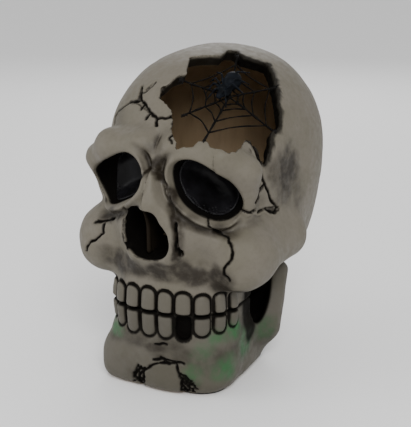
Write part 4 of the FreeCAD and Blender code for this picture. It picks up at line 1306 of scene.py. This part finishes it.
def add_lamp(name, place, width, watts):
    """A round soft lamp that faces the ornament."""
    data = bpy.data.lights.new(name, "AREA")
    data.shape = "DISK"
    data.size, data.energy = width, watts
    lamp = linked(name, data)
    lamp.location = place
    way = np.array(LAMP_AIM) - np.array(place)
    yaw = math.atan2(way[1], way[0])
    tilt = math.atan2(math.hypot(way[0], way[1]), -way[2])
    lamp.rotation_euler = (tilt, 0, yaw - math.pi / 2)


def add_world():
    """Even white light from all round."""
    world = bpy.data.worlds.new("world")
    world.use_nodes = True
    background = world.node_tree.nodes["Background"]
    background.inputs["Color"].default_value = rgb(1, 1, 1)
    background.inputs["Strength"].default_value = WORLD_STRENGTH
    bpy.context.scene.world = world


add_camera()
add_floor()
add_world()
for lamp in LAMPS:
    add_lamp(*lamp)

# ---------------- the pieces
nodes = frame["nodes"]

# The boxes that hold the sculpted pieces, in mm. An eye cup's is for the left one.
SKULL_BOX = ((-52, -63, 37), (52, 68, 151))
JAW_BOX = ((-42, -56, -1), (42, 24, 51))
CUP_BOX = ((2, -54, 78), (44, -20, 114))
SPIDER_BOX = (tuple(CHEST - 14), tuple(CHEST + 16))


def repaint(obj, paint_with):
    """Give an object this material and no other."""
    obj.data.materials.clear()
    obj.data.materials.append(paint_with)


def take_place(piece, node, paint_with):
    """A new piece stands for a CAD node: it joins the node's body, takes this material, and the node is
    hidden.
    """
    repaint(piece, paint_with)
    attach(piece, nodes[node]["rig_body"])
    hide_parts(node)


resin = cast_resin("bone_resin", (0.117, 0.104, 0.082), (0.104, 0.093, 0.069))
# The jaw's copy has a darker bone colour than the skull's.
resin_jaw = cast_resin("jaw_resin", (0.072, 0.065, 0.051), (0.06, 0.054, 0.039))
black_gloss = gloss_black()

skull_piece = sculpted("skull", skull, *SKULL_BOX, FINE, MAX_TRIANGLES["skull"])
wear_and_shade(skull_piece, skull, SKULL_CRACKS, SKULL_STAINS_AND_SHADE, [], UPPER, skull_inner, skull_dark)
paint(skull_piece, rim=skull_rim(columns(mesh_points(skull_piece))))
take_place(skull_piece, "skull_shell", resin)

jaw_piece = sculpted("jaw", jaw, *JAW_BOX, FINE, MAX_TRIANGLES["jaw"])
wear_and_shade(jaw_piece, jaw, JAW_CRACKS, JAW_STAINS_AND_SHADE, MOSS, LOWER, jaw_inner, jaw_dark)
take_place(jaw_piece, "lower_jaw", resin_jaw)

for side, node in ((1, "eye_cup_left"), (-1, "eye_cup_right")):
    left, right = sorted(side * corner[0] for corner in CUP_BOX)
    low, high = ((x, *corner[1:]) for x, corner in zip((left, right), CUP_BOX))
    cup = sculpted(node.replace("eye_cup", "eye_bowl"), eye_cup, low, high, CUP_FINE, MAX_TRIANGLES["cup"])
    take_place(cup, node, black_gloss)

thread = plastic("dark_thread", (0.0025, 0.0022, 0.002), (0.005, 0.0045, 0.004), 0.65, 2.0, 0.05, shine=0.04)
take_place(web_threads(), "spider_web", thread)
glue = plastic("dark_glue", (0.003, 0.0027, 0.0025), (0.006, 0.005, 0.0045), 0.6, 1.5, 0.08, shine=0.06)
take_place(knot_drops(), "web_knots", glue)
spider = sculpted("spider", spider_shape, *SPIDER_BOX, SPIDER_FINE, MAX_TRIANGLES["spider"])
spider_dark, spider_light = (0.0022, 0.0026, 0.0034), (0.005, 0.0065, 0.0095)
spider_paint = plastic("spider_gloss", spider_dark, spider_light, 0.5, 3.0, 0.06, shine=0.05)
take_place(spider, "spider_body", spider_paint)
take_place(spider_legs(), "spider_legs", spider_paint)

# The pieces that keep their CAD shape, with their new materials.
CARRIED_OVER = {
    "jaw_dowels": clear_plastic("dowel_nylon", (0.62, 0.6, 0.55), 0.15),
    "base_plate": plastic("plate_abs", (0.022, 0.022, 0.023), (0.032, 0.032, 0.033), 0.45, 6, 0.05),
    "base_screws": metal("screw_steel", (0.55, 0.55, 0.54), (1, 1, 6)),
    "foot_pad": plastic("pad_foam", (0.014, 0.014, 0.014), (0.026, 0.026, 0.026), 0.85, 2.4, 0.25),
    "inlet_bushing": plastic("bushing_abs", (0.024, 0.024, 0.025), (0.034, 0.034, 0.035), 0.4, 4, 0.03),
    "bushing_nut": plastic("nut_abs", (0.028, 0.028, 0.029), (0.038, 0.038, 0.039), 0.42, 4, 0.03),
    "inlet_elbow": clear_plastic("elbow_nylon", (0.58, 0.57, 0.52), 0.2),
    "elbow_ring": plastic("ring_rubber", (0.012, 0.012, 0.012), (0.02, 0.02, 0.02), 0.55, 1.5, 0.02),
    "air_tube": clear_plastic("silicone_tube", (0.6, 0.63, 0.61), 0.55),
    "tube_grommet": plastic("grommet_rubber", (0.016, 0.016, 0.016), (0.026, 0.026, 0.026), 0.6, 3, 0.04),
    "stone_nipple": clear_plastic("nipple_nylon", (0.6, 0.58, 0.53), 0.15),
    "air_stone": porous("bubble_stone"),
}
for node, paint_with in CARRIED_OVER.items():
    repaint(nodes[node], paint_with)
